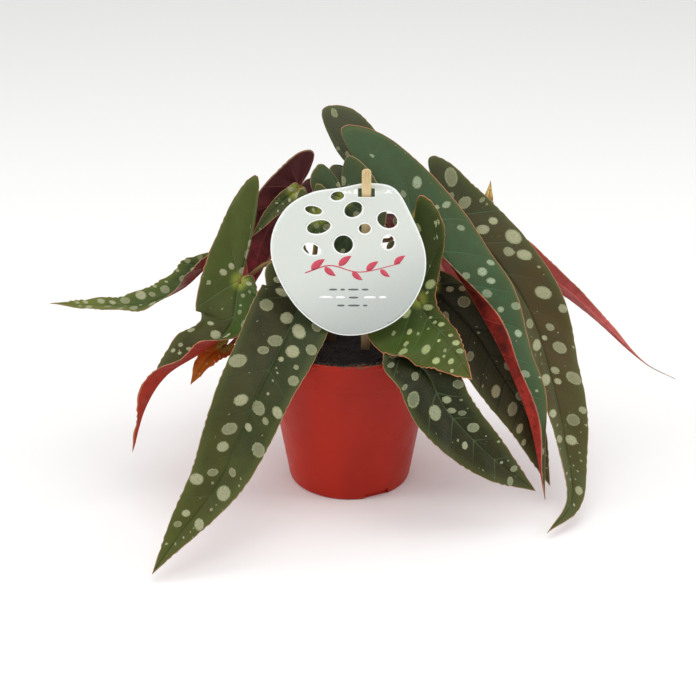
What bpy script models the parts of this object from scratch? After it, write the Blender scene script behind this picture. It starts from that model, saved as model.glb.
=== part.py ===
"""Polka dot begonia in a nursery pot: canes, leaf stalks, spotted angel-wing leaves, peat, a plant card
on a wooden stick. Metres, +Z up, the origin in the middle of the pot's foot, which stands on z = 0."""

import math

import bmesh
import bpy
import numpy as np
from mathutils import Matrix, Vector

CM = 0.01
GAP = 0.0003

# Pot, a turned and tapered nursery pot with a straight collar
POT_HEIGHT = 0.115
POT_FOOT_RADIUS = 0.0440
POT_COLLAR_RADIUS = 0.0610
POT_RIM_RADIUS = 0.0635
POT_COLLAR_HEIGHT = 0.0220
POT_WALL = 0.0016
POT_FLOOR = 0.0055
POT_LIP = 0.0012
POT_LIP_DROP = 0.0030
POT_STEPS = 40
COLLAR_Z = POT_HEIGHT - POT_COLLAR_HEIGHT
FOOT_ROUNDING = 0.0022
ROUNDING = 0.0004
NOTCH_COUNT = 3
NOTCH_WIDTH = 0.019
NOTCH_HEIGHT = 0.0048
NOTCH_DEPTH = 0.0030
NOTCH_TURN = math.radians(26)
DRAIN_COUNT = 6
DRAIN_RADIUS = 0.0040
DRAIN_RING = 0.026

# Peat
SOIL_TOP = 0.1065
SOIL_CROWN = 0.0020
SOIL_CROWN_RADIUS = 0.030
SOIL_STEPS = 32
COLLAR_DROP = 0.0030
HOLE_ROOM = 0.0009
PAST = 0.002

# Plant card, which leans back, and its stick, which leans forward through the card's slot
CARD_LEAN = math.radians(7)
STICK_LEAN = math.radians(-6)
STICK_FOOT = Vector((0.0110, -0.0177, SOIL_TOP))
STICK_LENGTH = 0.1385
STICK_BURIED = 0.038
STICK_WIDTH = 0.0062
STICK_THICKNESS = 0.0020
CARD_CENTRE = Vector((-0.0010, -0.0360, 0.1815))
CARD_THICKNESS = 0.0008
CARD_OUTLINE_CM = [
    (1.35, 5.20), (3.05, 4.90), (4.2, 3.05), (5.15, 0.60), (5.0, -1.65), (3.7, -3.85), (1.45, -5.1),
    (-1.05, -5.1), (-3.35, -3.45), (-4.9, -0.75), (-5.15, 1.5), (-4.2, 3.5), (-2.5, 4.60), (-0.5, 4.95),
]
CARD_HOLES_CM = [
    # middle across and up, half width, half height, turn in degrees
    (-0.72, 4.40, 0.45, 0.30, 10),
    (-2.30, 3.44, 0.58, 0.28, -12),
    (-1.97, 2.30, 0.79, 0.46, 12),
    (0.34, 3.50, 0.63, 0.50, 30),
    (1.10, 2.20, 0.40, 0.35, 0),
    (2.60, 2.78, 0.69, 0.55, -25),
    (2.68, 1.25, 0.41, 0.48, 0),
    (-0.33, 1.10, 0.64, 0.63, 0),
    (-2.45, 0.77, 0.58, 0.37, -20),
]
SLOT_CM = (1.20, 4.62)
SLOT_WIDTH = 0.0112
SLOT_HEIGHT = 0.0050
CARD_BULGE = 0.0030
BULGE_WIDTH = 0.010
BULGE_FALL = 0.012
BEND_LINES_ACROSS = (-0.011, 0.011)
BEND_LINE_BELOW = -0.014
STICK_BEVEL = 0.0005

# Canes: points in centimetres from the buried end to the growing tip, and the radius at each end
CANES = {
    "cane_left": ([(-1.3, 0.2, 7.6), (-1.3, 0.2, 10.4), (-1.9, 0.3, 13.2), (-2.8, 0.4, 15.6),
                   (-3.3, 0.6, 17.4)], 0.0043, 0.0030),
    "cane_right": ([(1.5, 0.6, 7.6), (1.5, 0.6, 10.4), (2.2, 1.0, 13.2), (2.8, 1.3, 15.8),
                    (3.0, 1.6, 17.6)], 0.0045, 0.0030),
    "cane_back": ([(0.0, 2.5, 7.6), (0.0, 2.5, 10.4), (-0.3, 3.3, 14.2), (0.0, 3.7, 16.8),
                   (0.1, 4.0, 18.4)], 0.0040, 0.0025),
}

# Leaves
LEAF_THICKNESS = 0.0009
HALF_PHASE = 1.7
STALK_RADIUS = 0.0019
STALK_NECK = 0.006
WELD = 2e-5
VEIN_ANGLE = math.radians(50)
LEAF_COLUMNS = 15
LOBE_COLUMNS = 5
HALF_ROWS = 2

GREEN = (0.055, 0.085, 0.040)
TEAL = (0.060, 0.110, 0.085)
LIGHT_GREEN = (0.140, 0.230, 0.045)
BROWN_GREEN = (0.085, 0.062, 0.030)
MAROON = (0.120, 0.018, 0.016)
CRIMSON = (0.330, 0.030, 0.020)


def leaf(line, faces, halves, fold, fullness, wave, colour, stalk):
    """One leaf in centimetres. line runs from behind the stalk, through the stalk's end, to the tip.
    faces gives the way the upper side looks at each of those points. halves is (lobe, lobe's width,
    blade's width) for the half on the side of line x face, then for the other half. fold raises both
    halves like a V, in degrees. wave is the height and the number of the ripples along each edge.
    stalk is its cane, the height that it leaves it at, and the point where it bends."""
    return dict(line=line, faces=faces, halves=halves, fold=fold, fullness=fullness, wave=wave,
                colour=colour, stalk=stalk)


LEAVES = {
    "leaf_front_left": leaf(
        [(-4.2, -0.8, 17.3), (-3.2, -1.8, 15.2), (-4.5, -4.4, 12.6), (-6.2, -7.6, 10.1), (-8.5, -11.1, 5.7),
         (-11.1, -13.6, 2.9), (-12.9, -15.0, 0.7)],
        [(0, -9, 4), (1, -8, 6), (1, -8, 6), (1, -8, 6), (1, -7, 7), (1, -6, 8), (1, -6, 8)],
        ((2.8, 2.4, 3.1), (0.8, 1.1, 2.6)), fold=[8, 10, 20, 20, 14, 12, 10], fullness=0.85,
        wave=(0.25, 4), colour=BROWN_GREEN,
        stalk=("cane_left", 12.6, (-2.6, -0.8, 14.5))),
    "leaf_left_folded": leaf(
        [(-5.4, 0.6, 22.0), (-7.6, -0.8, 15.5), (-8.2, -2.8, 13.0), (-10.2, -3.8, 11.5), (-12.6, -4.6, 10.1),
         (-14.1, -5.2, 7.9), (-15.2, -5.2, 4.4)],
        [(-1, -9, 4), (-2, -8, 5), (-4, -6, 7), (-6, 0, 8), (-8, 2, 6), (-9, 3, 3), (-9, 4, 1)],
        ((7.6, 2.3, 2.7), (0.6, 1.0, 1.9)), fold=[5, 8, 20, 35, 40, 40, 30], fullness=0.5, wave=(0.35, 4),
        colour=LIGHT_GREEN, stalk=("cane_left", 15.2, (-5.4, -0.1, 16.6))),
    "leaf_far_left": leaf(
        [(-9.0, 1.9, 16.0), (-10.1, 1.4, 15.7), (-11.9, 0.4, 14.4), (-14.4, -0.6, 13.7), (-17.6, -1.6, 14.0),
         (-20.6, -2.4, 14.5)],
        [(0, 0, 1), (0, 0, 1), (0, 0, 1), (0, -1, 9), (0, -1, 9), (0, -1, 9)],
        ((0.6, 1.0, 1.5), (1.0, 1.0, 1.5)), fold=[60, 60, 45, 16, 8, 8], fullness=0.75, wave=(0.10, 4), colour=LIGHT_GREEN,
        stalk=("cane_left", 16.4, (-6.6, 2.8, 17.0))),
    "leaf_left_maroon": leaf(
        [(-2.3, 3.2, 22.6), (-3.6, 2.6, 21.2), (-5.0, 2.0, 19.7), (-6.1, 1.2, 17.6), (-7.0, 0.4, 14.3)],
        [(-3, 8, 4), (-3, 8, 4), (-4, 8, 3), (-3, 9, 2), (-2, 9, 0)],
        ((1.2, 1.6, 1.8), (2.6, 2.0, 2.1)), fold=12, fullness=0.5, wave=(0.2, 3), colour=MAROON,
        stalk=("cane_left", 16.8, (-3.6, 1.4, 19.2))),
    "leaf_left_young": leaf(
        [(-3.2, 1.4, 22.0), (-3.7, 1.2, 21.4), (-5.2, 0.7, 20.2), (-6.8, 0.1, 18.4)],
        [(0, -8, 5), (0, -8, 5), (0, -8, 5), (0, -8, 5)],
        ((0.5, 0.5, 0.6), (0.5, 0.5, 0.6)), fold=10, fullness=0.6, wave=(0.08, 3), colour=GREEN,
        stalk=("cane_left", 14.4, (-4.2, -0.6, 17.6))),
    "leaf_left_small": leaf(
        [(-7.3, -1.5, 11.9), (-8.7, -2.4, 11.3), (-9.9, -3.1, 10.7), (-11.1, -3.5, 8.8)],
        [(0, -7, 7), (0, -7, 7), (-2, -7, 6), (-3, -8, 3)],
        ((0.6, 0.7, 0.9), (0.6, 0.7, 0.9)), fold=10, fullness=0.4, wave=(0.1, 3), colour=BROWN_GREEN,
        stalk=("cane_left", 12.0, (-5.6, -0.8, 12.9))),
    "leaf_behind_card_left": leaf(
        [(-2.9, 0.0, 22.5), (-2.2, -0.6, 20.2), (-1.6, -1.4, 17.8)],
        [(0, -9, 4), (0, -9, 4), (0, -9, 4)],
        ((2.2, 1.1, 1.2), (2.2, 1.2, 1.2)), fold=8, fullness=0.4, wave=(0.1, 3), colour=GREEN,
        stalk=("cane_left", 15.8, (-2.4, -0.9, 17.6))),
    "leaf_behind_card": leaf(
        [(-1.2, 1.2, 24.2), (-0.4, 0.6, 21.0), (-0.1, -0.2, 17.7), (0.0, -0.9, 14.4)],
        [(0, -9, 4), (0, -9, 4), (0, -9, 3), (0, -9, 3)],
        ((2.9, 2.0, 1.7), (2.9, 2.0, 2.8)), fold=8, fullness=0.6, wave=(0.15, 3), colour=TEAL,
        stalk=("cane_back", 17.2, (0.0, 2.4, 19.2))),
    "leaf_top_back": leaf(
        [(-2.0, 6.2, 23.6), (0.6, 5.4, 21.2), (5.4, 4.0, 18.2), (8.4, 3.4, 15.2)],
        [(-1, -6, 7), (-1, -6, 7), (1, -6, 7), (2, -6, 6)],
        ((1.8, 1.8, 1.3), (5.2, 3.2, 2.9)), fold=10, fullness=0.4, wave=(0.2, 3), colour=TEAL,
        stalk=("cane_back", 18.0, (0.4, 5.2, 19.6))),
    "leaf_right_teal": leaf(
        [(-0.4, 3.2, 22.9), (4.3, 0.8, 19.3), (6.9, -0.6, 16.8), (9.4, -2.4, 13.2), (11.2, -3.9, 9.9),
         (12.6, -5.2, 6.4), (13.8, -5.8, 0.9)],
        [(1, -8, 6), (2, -7, 7), (5, -3, 8), (6, 0, 8), (7, 1, 6), (8, 1, 5), (9, 0, 3)],
        ((1.0, 1.2, 1.6), (8.4, 3.3, 3.2)), fold=[8, 14, 40, 55, 60, 60, 55], fullness=0.6, wave=(0.2, 4),
        colour=TEAL, stalk=("cane_right", 17.1, (3.9, 1.5, 18.1))),
    "leaf_front_right": leaf(
        [(3.5, -1.9, 21.7), (4.7, -2.1, 14.7), (6.6, -5.2, 13.0), (8.1, -8.2, 11.5)],
        [(0, -9, 3), (-1, -8, 6), (-2, -4, 9), (-2, -4, 9)],
        ((2.0, 3.0, 4.2), (7.6, 2.6, 1.1)), fold=5, fullness=0.7, wave=(0.2, 3), colour=LIGHT_GREEN,
        stalk=("cane_right", 12.2, (3.6, -0.8, 12.8))),
    "leaf_right_outer": leaf(
        [(5.7, 3.4, 21.1), (7.2, 2.6, 19.1), (10.4, 1.6, 16.0), (12.8, 0.2, 12.5), (14.2, -2.4, 8.6),
         (15.0, -5.0, 5.2), (15.4, -7.3, 1.8), (13.5, -9.6, 0.5)],
        [(3, -7, 6), (3, -7, 6), (3, -7, 6), (3, -7, 6), (3, -7, 5), (3, -7, 5), (3, -7, 6), (0, -4, 9)],
        ((0.8, 1.2, 1.4), (4.4, 2.2, 2.9)), fold=12, fullness=0.8, wave=(0.25, 4), colour=GREEN,
        stalk=("cane_right", 15.4, (5.0, 2.2, 16.6))),
    "leaf_far_right": leaf(
        [(10.2, 5.2, 17.2), (11.3, 5.0, 16.3), (13.9, 4.6, 14.1), (16.5, 4.0, 12.2), (19.1, 3.4, 9.9),
         (21.8, 3.0, 7.4), (24.2, 2.6, 6.2)],
        [(2, 9, 3), (2, 9, 3), (2, 9, 3), (2, 9, 3), (2, 9, 3), (2, 9, 3), (2, 9, 3)],
        ((1.0, 1.0, 1.1), (1.0, 1.0, 1.2)), fold=30, fullness=-0.6, wave=(0.1, 3), colour=CRIMSON,
        stalk=("cane_right", 15.0, (7.2, 4.2, 15.9))),
    "leaf_right_young": leaf(
        [(9.3, 4.6, 16.5), (9.4, 4.4, 17.2), (9.8, 4.4, 18.8), (10.0, 4.2, 21.1)],
        [(0, -9, 3), (0, -9, 3), (0, -9, 3), (0, -9, 3)],
        ((0.6, 0.6, 0.7), (0.6, 0.6, 0.8)), fold=15, fullness=0.2, wave=(0.05, 3), colour=LIGHT_GREEN,
        stalk=("cane_right", 16.2, (6.4, 4.2, 16.6))),
    "leaf_front_right_low": leaf(
        [(2.8, -3.9, 12.1), (3.5, -4.7, 11.9), (5.2, -6.7, 11.2), (6.5, -8.0, 9.1), (9.5, -8.5, 5.9),
         (12.8, -7.9, 2.8)],
        [(3, -6, 6), (3, -6, 6), (2, -8, 5), (1, -9, 4), (1, -9, 4), (1, -9, 3)],
        ((0.8, 1.2, 2.5), (0.6, 0.8, 2.0)), fold=[10, 12, 20, 14, 10, 8], fullness=0.9, wave=(0.2, 4),
        colour=GREEN,
        stalk=("cane_right", 11.2, (2.8, -2.2, 11.9))),
    "leaf_right_brown": leaf(
        [(5.0, 1.0, 15.2), (5.7, 0.6, 14.5), (8.7, -1.2, 11.8), (10.5, -2.6, 9.3), (12.5, -4.0, 6.3),
         (14.2, -5.0, 1.5)],
        [(1, -8, 6), (1, -8, 6), (1, -8, 6), (1, -8, 6), (1, -8, 5), (1, -8, 4)],
        ((0.8, 1.4, 2.6), (1.0, 1.2, 1.8)), fold=10, fullness=0.9, wave=(0.2, 4), colour=BROWN_GREEN,
        stalk=("cane_right", 13.3, (4.1, 1.3, 14.3))),
    "leaf_back_left": leaf(
        [(-1.6, 5.2, 18.6), (-2.8, 5.8, 17.6), (-5.2, 8.0, 15.8), (-7.6, 10.4, 12.0), (-9.2, 12.2, 7.8)],
        [(-3, 6, 8), (-3, 6, 8), (-4, 7, 6), (-4, 7, 5), (-4, 8, 4)],
        ((1.2, 1.6, 2.6), (2.0, 2.0, 3.2)), fold=12, fullness=0.5, wave=(0.25, 4), colour=GREEN,
        stalk=("cane_back", 14.8, (-1.6, 5.1, 16.2))),
    "leaf_back_right": leaf(
        [(2.2, 6.2, 17.2), (3.2, 7.0, 16.4), (5.6, 9.2, 14.6), (7.6, 11.4, 11.0), (8.6, 13.2, 6.8)],
        [(3, 6, 8), (3, 6, 8), (4, 7, 6), (4, 7, 5), (4, 8, 4)],
        ((2.8, 2.6, 3.2), (1.4, 1.8, 2.8)), fold=12, fullness=0.5, wave=(0.25, 4), colour=TEAL,
        stalk=("cane_back", 15.4, (1.9, 5.8, 15.8))),
    "leaf_back_low": leaf(
        [(-0.2, 5.6, 13.8), (-0.4, 6.6, 13.2), (-0.9, 9.2, 11.4), (-1.4, 11.6, 7.8), (-1.6, 13.0, 3.2)],
        [(0, 6, 8), (0, 6, 8), (0, 7, 6), (0, 8, 5), (0, 9, 3)],
        ((1.4, 1.8, 2.8), (2.4, 2.4, 3.2)), fold=12, fullness=0.6, wave=(0.25, 4), colour=BROWN_GREEN,
        stalk=("cane_back", 12.4, (-0.2, 5.0, 12.8))),
}


def to_m(points):
    return [Vector(p) * CM for p in points]


def smooth_path(points, per_span=12, closed=False):
    """Points on the Catmull-Rom curve through the given ones."""
    given = [np.array(p, float) for p in points]
    count = len(given)
    spans = count if closed else count - 1
    path = []
    for i in range(spans):
        if closed:
            a, b, c, d = (given[(i + k) % count] for k in (-1, 0, 1, 2))
        else:
            b, c = given[i], given[i + 1]
            a = given[i - 1] if i else 2 * b - c
            d = given[i + 2] if i + 2 < count else 2 * c - b
        for k in range(per_span):
            t = k / per_span
            path.append(0.5 * (2 * b + (c - a) * t + (2 * a - 5 * b + 4 * c - d) * t * t
                               + (3 * b - a - 3 * c + d) * t ** 3))
    if not closed:
        path.append(given[-1])
    return np.array(path)


def material(name, colour, roughness, metallic=0.0):
    made = bpy.data.materials.new(name)
    made.use_nodes = True
    shader = made.node_tree.nodes["Principled BSDF"]
    shader.inputs["Base Color"].default_value = (*colour, 1)
    shader.inputs["Roughness"].default_value = roughness
    shader.inputs["Metallic"].default_value = metallic
    return made


def collection(name):
    made = bpy.data.collections.new(name)
    bpy.context.scene.collection.children.link(made)
    return made


def add(name, mesh_or_curve, folder, finish=None):
    obj = bpy.data.objects.new(name, mesh_or_curve)
    folder.objects.link(obj)
    if finish:
        obj.data.materials.append(finish)
    return obj


def as_mesh(obj):
    """A curve object's mesh with its caps welded, in a new object of the same name."""
    bpy.context.view_layer.update()
    graph = bpy.context.evaluated_depsgraph_get()
    mesh = bpy.data.meshes.new_from_object(obj.evaluated_get(graph))
    bm = bmesh.new()
    bm.from_mesh(mesh)
    bmesh.ops.remove_doubles(bm, verts=bm.verts, dist=1e-6)
    bmesh.ops.recalc_face_normals(bm, faces=bm.faces)
    bm.to_mesh(mesh)
    bm.free()
    name = obj.name
    folder = obj.users_collection[0]
    matrix = obj.matrix_world.copy()
    bpy.data.objects.remove(obj)
    made = add(name, mesh, folder)
    made.matrix_world = matrix
    return made


def smooth_shade(obj, degrees=35):
    for face in obj.data.polygons:
        face.use_smooth = True
    obj.data.set_sharp_from_angle(angle=math.radians(degrees))


def cutter(name, mesh, folder):
    obj = add(name, mesh, folder)
    obj.hide_render = True
    obj.display_type = "WIRE"
    return obj


def cut(obj, tool):
    modifier = obj.modifiers.new("cut_" + tool.name, "BOOLEAN")
    modifier.operation = "DIFFERENCE"
    modifier.object = tool


def turned(name, profile, folder, finish, steps):
    """A Screw of a profile of (radius, height) points, which runs down its outer side."""
    bm = bmesh.new()
    verts = [bm.verts.new((r, 0, z)) for r, z in profile]
    for first, second in zip(verts, verts[1:]):
        bm.edges.new((first, second))
    mesh = bpy.data.meshes.new(name)
    bm.to_mesh(mesh)
    bm.free()
    obj = add(name, mesh, folder, finish)
    screw = obj.modifiers.new("turn", "SCREW")
    screw.steps = screw.render_steps = steps
    screw.use_merge_vertices = True
    screw.merge_threshold = 1e-5
    return obj


def cylinder(radius, low, high, at, segments=16):
    bm = bmesh.new()
    bmesh.ops.create_cone(bm, cap_ends=True, segments=segments, radius1=radius, radius2=radius,
                          depth=high - low,
                          matrix=Matrix.Translation((at[0], at[1], (low + high) / 2)))
    mesh = bpy.data.meshes.new("cylinder")
    bm.to_mesh(mesh)
    bm.free()
    return mesh


def block(size, matrix):
    bm = bmesh.new()
    bmesh.ops.create_cube(bm, size=1, matrix=matrix @ Matrix.Diagonal((*size, 1)))
    mesh = bpy.data.meshes.new("block")
    bm.to_mesh(mesh)
    bm.free()
    return mesh


def pot_outer_radius(z):
    if z > COLLAR_Z:
        flare = (POT_RIM_RADIUS - POT_COLLAR_RADIUS) / POT_COLLAR_HEIGHT
        return POT_COLLAR_RADIUS + flare * (z - COLLAR_Z)
    waist = POT_COLLAR_RADIUS - POT_WALL
    return POT_FOOT_RADIUS + (waist - POT_FOOT_RADIUS) * z / COLLAR_Z


def make_pot(folder, tools, finish):
    waist = pot_outer_radius(COLLAR_Z)
    lip = POT_RIM_RADIUS + POT_LIP / 2
    outer = [
        (POT_RIM_RADIUS - ROUNDING, POT_HEIGHT),
        (lip, POT_HEIGHT - 1.5 * ROUNDING),
        (lip, POT_HEIGHT - POT_LIP_DROP + 2 * ROUNDING),
        (POT_RIM_RADIUS, POT_HEIGHT - POT_LIP_DROP),
        (POT_COLLAR_RADIUS, COLLAR_Z + 1.25 * ROUNDING),
        (POT_COLLAR_RADIUS - ROUNDING, COLLAR_Z),
        (waist, COLLAR_Z - ROUNDING),
        (pot_outer_radius(FOOT_ROUNDING), FOOT_ROUNDING),
        (POT_FOOT_RADIUS - ROUNDING, 1.5 * ROUNDING),
        (POT_FOOT_RADIUS - FOOT_ROUNDING, 0.0),
        (0.0, 0.0),
    ]
    inner = [
        (0.0, POT_FLOOR),
        (pot_outer_radius(POT_FLOOR) - POT_WALL, POT_FLOOR),
        (waist - POT_WALL, COLLAR_Z - 5 * ROUNDING),
        (POT_COLLAR_RADIUS - POT_WALL, COLLAR_Z + 1.25 * ROUNDING),
        (POT_RIM_RADIUS - POT_WALL, POT_HEIGHT - 2.5 * ROUNDING),
        (POT_RIM_RADIUS - POT_WALL + 1.5 * ROUNDING, POT_HEIGHT),
        (POT_RIM_RADIUS - ROUNDING, POT_HEIGHT),
    ]
    pot = turned("pot", outer + inner, folder, finish, POT_STEPS)
    for i in range(NOTCH_COUNT):
        turn = NOTCH_TURN + i * math.tau / NOTCH_COUNT
        spot = (Matrix.Rotation(turn, 4, "Z")
                @ Matrix.Translation((0, -POT_FOOT_RADIUS, (NOTCH_HEIGHT - PAST) / 2)))
        size = (NOTCH_WIDTH, 2 * NOTCH_DEPTH, NOTCH_HEIGHT + PAST)
        cut(pot, cutter(f"notch_{i + 1}", block(size, spot), tools))
    for i in range(DRAIN_COUNT):
        turn = (i + 0.5) * math.tau / DRAIN_COUNT
        at = (DRAIN_RING * math.cos(turn), DRAIN_RING * math.sin(turn))
        drain = cylinder(DRAIN_RADIUS, -PAST, POT_FLOOR + PAST, at, 12)
        cut(pot, cutter(f"drain_{i + 1}", drain, tools))
    smooth_shade(pot)
    return pot


def make_soil(folder, tools, finish):
    low = POT_FLOOR + GAP
    inset = POT_WALL + GAP
    edge = SOIL_TOP - SOIL_CROWN
    waist = COLLAR_Z - COLLAR_DROP
    profile = [
        (0.0, SOIL_TOP),
        (SOIL_CROWN_RADIUS, SOIL_TOP - SOIL_CROWN * 0.3),
        (pot_outer_radius(edge) - inset - 3 * ROUNDING, edge),
        (pot_outer_radius(waist) - inset - ROUNDING, waist),
        (pot_outer_radius(low) - inset - 2.5 * ROUNDING, low),
        (0.0, low),
    ]
    soil = turned("potting_soil", profile, folder, finish, SOIL_STEPS)
    for name, (points, thick, _) in CANES.items():
        foot = to_m(points)[0]
        hole = cylinder(thick + HOLE_ROOM, foot.z - GAP, SOIL_TOP + PAST, foot, 16)
        cut(soil, cutter("hole_" + name, hole, tools))
    size = (STICK_WIDTH + 2 * GAP, STICK_THICKNESS + 2 * GAP, 2 * (STICK_BURIED + GAP))
    cut(soil, cutter("hole_stick", block(size, leaning(STICK_FOOT, STICK_LEAN)), tools))
    smooth_shade(soil)
    return soil


def leaning(at, lean):
    """Axes of a part that leans back: X across it, Y away from the viewer, Z up along it."""
    return Matrix.Translation(at) @ Matrix.Rotation(-lean, 4, "X")


def ring_spline(curve, points):
    spline = curve.splines.new("POLY")
    spline.points.add(len(points) - 1)
    for point, (x, z) in zip(spline.points, points):
        point.co = (x, z, 0, 1)
    spline.use_cyclic_u = True


def oval(middle, half_width, half_height, turn, count=12):
    points = []
    for i in range(count):
        angle = math.tau * i / count
        x, z = half_width * math.cos(angle), half_height * math.sin(angle)
        points.append((middle[0] + x * math.cos(turn) - z * math.sin(turn),
                       middle[1] + x * math.sin(turn) + z * math.cos(turn)))
    return points


def card_bulge(x, z):
    """How far the card is pushed back by the stick above its slot, and forward below it."""
    across = math.exp(-((x - SLOT_CM[0] * CM) / BULGE_WIDTH) ** 2)
    over = z - SLOT_CM[1] * CM
    if over > 0:
        return CARD_BULGE * across
    return -CARD_BULGE * across * math.exp(over / BULGE_FALL)


def split(bm, point, normal):
    """Gives the mesh an edge line where a plane crosses it, so that it can bend there."""
    bmesh.ops.bisect_plane(bm, geom=bm.verts[:] + bm.edges[:] + bm.faces[:], plane_co=point, plane_no=normal)


def make_card(folder, finish):
    curve = bpy.data.curves.new("plant_card", "CURVE")
    curve.dimensions = "2D"
    curve.fill_mode = "BOTH"
    curve.extrude = CARD_THICKNESS / 2
    ring_spline(curve, smooth_path([(x * CM, z * CM) for x, z in CARD_OUTLINE_CM], 3, True))
    for x, z, half_width, half_height, turn in CARD_HOLES_CM:
        ring_spline(curve, oval((x * CM, z * CM), half_width * CM, half_height * CM, math.radians(turn)))
    slot_x, slot_z = SLOT_CM[0] * CM, SLOT_CM[1] * CM
    ring_spline(curve, [(slot_x + across * SLOT_WIDTH / 2, slot_z + up * SLOT_HEIGHT / 2)
                        for across, up in ((-1, -1), (1, -1), (1, 1), (-1, 1))])
    card = as_mesh(add("plant_card", curve, folder))
    card.data.materials.append(finish)
    bm = bmesh.new()
    bm.from_mesh(card.data)
    for x in BEND_LINES_ACROSS:
        split(bm, (slot_x + x, 0, 0), (1, 0, 0))
    split(bm, (0, slot_z + BEND_LINE_BELOW, 0), (0, 1, 0))
    for v in bm.verts:
        v.co.z -= card_bulge(v.co.x, v.co.y)
    bmesh.ops.triangulate(bm, faces=bm.faces)
    bm.to_mesh(card.data)
    bm.free()
    card.matrix_world = leaning(CARD_CENTRE, CARD_LEAN) @ Matrix.Rotation(math.radians(90), 4, "X")
    return card


def make_stick(folder, finish):
    length = STICK_LENGTH + STICK_BURIED
    middle = Matrix.Translation((0, 0, (STICK_LENGTH - STICK_BURIED) / 2))
    mesh = block((STICK_WIDTH, STICK_THICKNESS, length), Matrix.Identity(4))
    stick = add("card_stick", mesh, folder, finish)
    bevel = stick.modifiers.new("soft_edges", "BEVEL")
    bevel.width = STICK_BEVEL
    bevel.segments = 1
    stick.matrix_world = leaning(STICK_FOOT, STICK_LEAN) @ middle
    return stick


def tube(name, points, radii, folder, finish):
    curve = bpy.data.curves.new(name, "CURVE")
    curve.dimensions = "3D"
    curve.bevel_depth = 1
    curve.bevel_resolution = 2
    curve.use_fill_caps = True
    spline = curve.splines.new("POLY")
    spline.points.add(len(points) - 1)
    for point, at, radius in zip(spline.points, points, radii):
        point.co = (*at, 1)
        point.radius = radius
    return add(name, curve, folder, finish)


def make_cane(name, folder, finish):
    points, thick, thin = CANES[name]
    path = smooth_path(to_m(points), 3)
    radii = np.linspace(thick, thin, len(path))
    return tube(name, path, radii, folder, finish)


def cane_at(name, height_cm):
    """The cane's axis point, direction and radius at a height."""
    points, thick, thin = CANES[name]
    path = smooth_path(to_m(points), 12)
    share = np.linspace(0, 1, len(path))
    here = np.interp(height_cm * CM, path[:, 2], share)
    at = Vector([np.interp(here, share, path[:, k]) for k in range(3)])
    step = max(int(here * (len(path) - 1)) - 1, 0)
    direction = Vector(path[step + 2] - path[step]).normalized()
    return at, direction, thick + (thin - thick) * here


def half_outline(lobe, lobe_width, width, length, fullness):
    """Points (along, across) of one half's edge, from the notch at the stalk round the lobe to the tip."""
    f = fullness
    along = [0, -0.55 * lobe, -0.97 * lobe, -0.62 * lobe, 0.10 * length, 0.36 * length,
             0.60 * length, 0.80 * length, 0.93 * length, length]
    across = [0, 0.10 * lobe_width, 0.50 * lobe_width, lobe_width, width, (0.82 + 0.12 * f) * width,
              (0.50 + 0.28 * f) * width, (0.22 + 0.25 * f) * width, (0.07 + 0.10 * f) * width, 0]
    path = smooth_path(list(zip(along, across)), 20)
    path[:, 1] = np.maximum(path[:, 1], 0)
    return path


def half_edge(sizes, length, fullness, columns, lobe_columns):
    """For each column, the place on the midrib where its vein starts, then its edge point."""
    path = half_outline(*sizes, length, fullness)
    root = path[:, 0] - path[:, 1] / math.tan(VEIN_ANGLE)
    first = max(i for i in range(len(root)) if root[i] <= 0)
    steps = np.linalg.norm(np.diff(path[:first + 1], axis=0), axis=1)
    walked = np.concatenate([[0], np.cumsum(steps)])
    walked = walked / walked[-1]
    rows = []
    for i in range(lobe_columns + 1):
        share = i / lobe_columns
        edge = [np.interp(share, walked, path[:first + 1, k]) for k in (0, 1)]
        rows.append((0.0, *edge))
    rise = np.maximum.accumulate(root[first:])
    blade_columns = columns - lobe_columns
    for i in range(1, blade_columns + 1):
        m = length * i / blade_columns
        edge = [np.interp(m, rise, path[first:, k]) for k in (0, 1)]
        rows.append((m, *edge))
    return rows


class Sweep:
    """Places (along, across, lift) on the bent midrib. along is measured from the stalk."""

    def __init__(self, line, faces, fold):
        self.path = smooth_path([tuple(p) for p in line], 16)
        self.face = smooth_path(faces, 16)
        folds = fold if isinstance(fold, list) else [fold] * len(line)
        self.fold = np.radians(np.interp(np.linspace(0, 1, len(self.path)),
                                         np.linspace(0, 1, len(folds)), folds))
        steps = np.linalg.norm(np.diff(self.path, axis=0), axis=1)
        walked = np.concatenate([[0], np.cumsum(steps)])
        self.along = walked - walked[16]
        self.length = self.along[-1]
        tangent = np.gradient(self.path, self.along, axis=0)
        tangent /= np.linalg.norm(tangent, axis=1)[:, None]
        normal = self.face - (self.face * tangent).sum(axis=1)[:, None] * tangent
        normal /= np.linalg.norm(normal, axis=1)[:, None]
        self.tangent, self.normal, self.side = tangent, normal, np.cross(tangent, normal)

    def at(self, along, across, lift):
        near = float(np.clip(along, self.along[0], self.along[-1]))
        fold = np.interp(near, self.along, self.fold)
        lift += abs(across) * math.sin(fold)
        across *= math.cos(fold)
        point, t, n, s = (np.array([np.interp(near, self.along, rows[:, k]) for k in range(3)])
                          for rows in (self.path, self.tangent, self.normal, self.side))
        return point + t * (along - near) + s * across + n * lift


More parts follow.
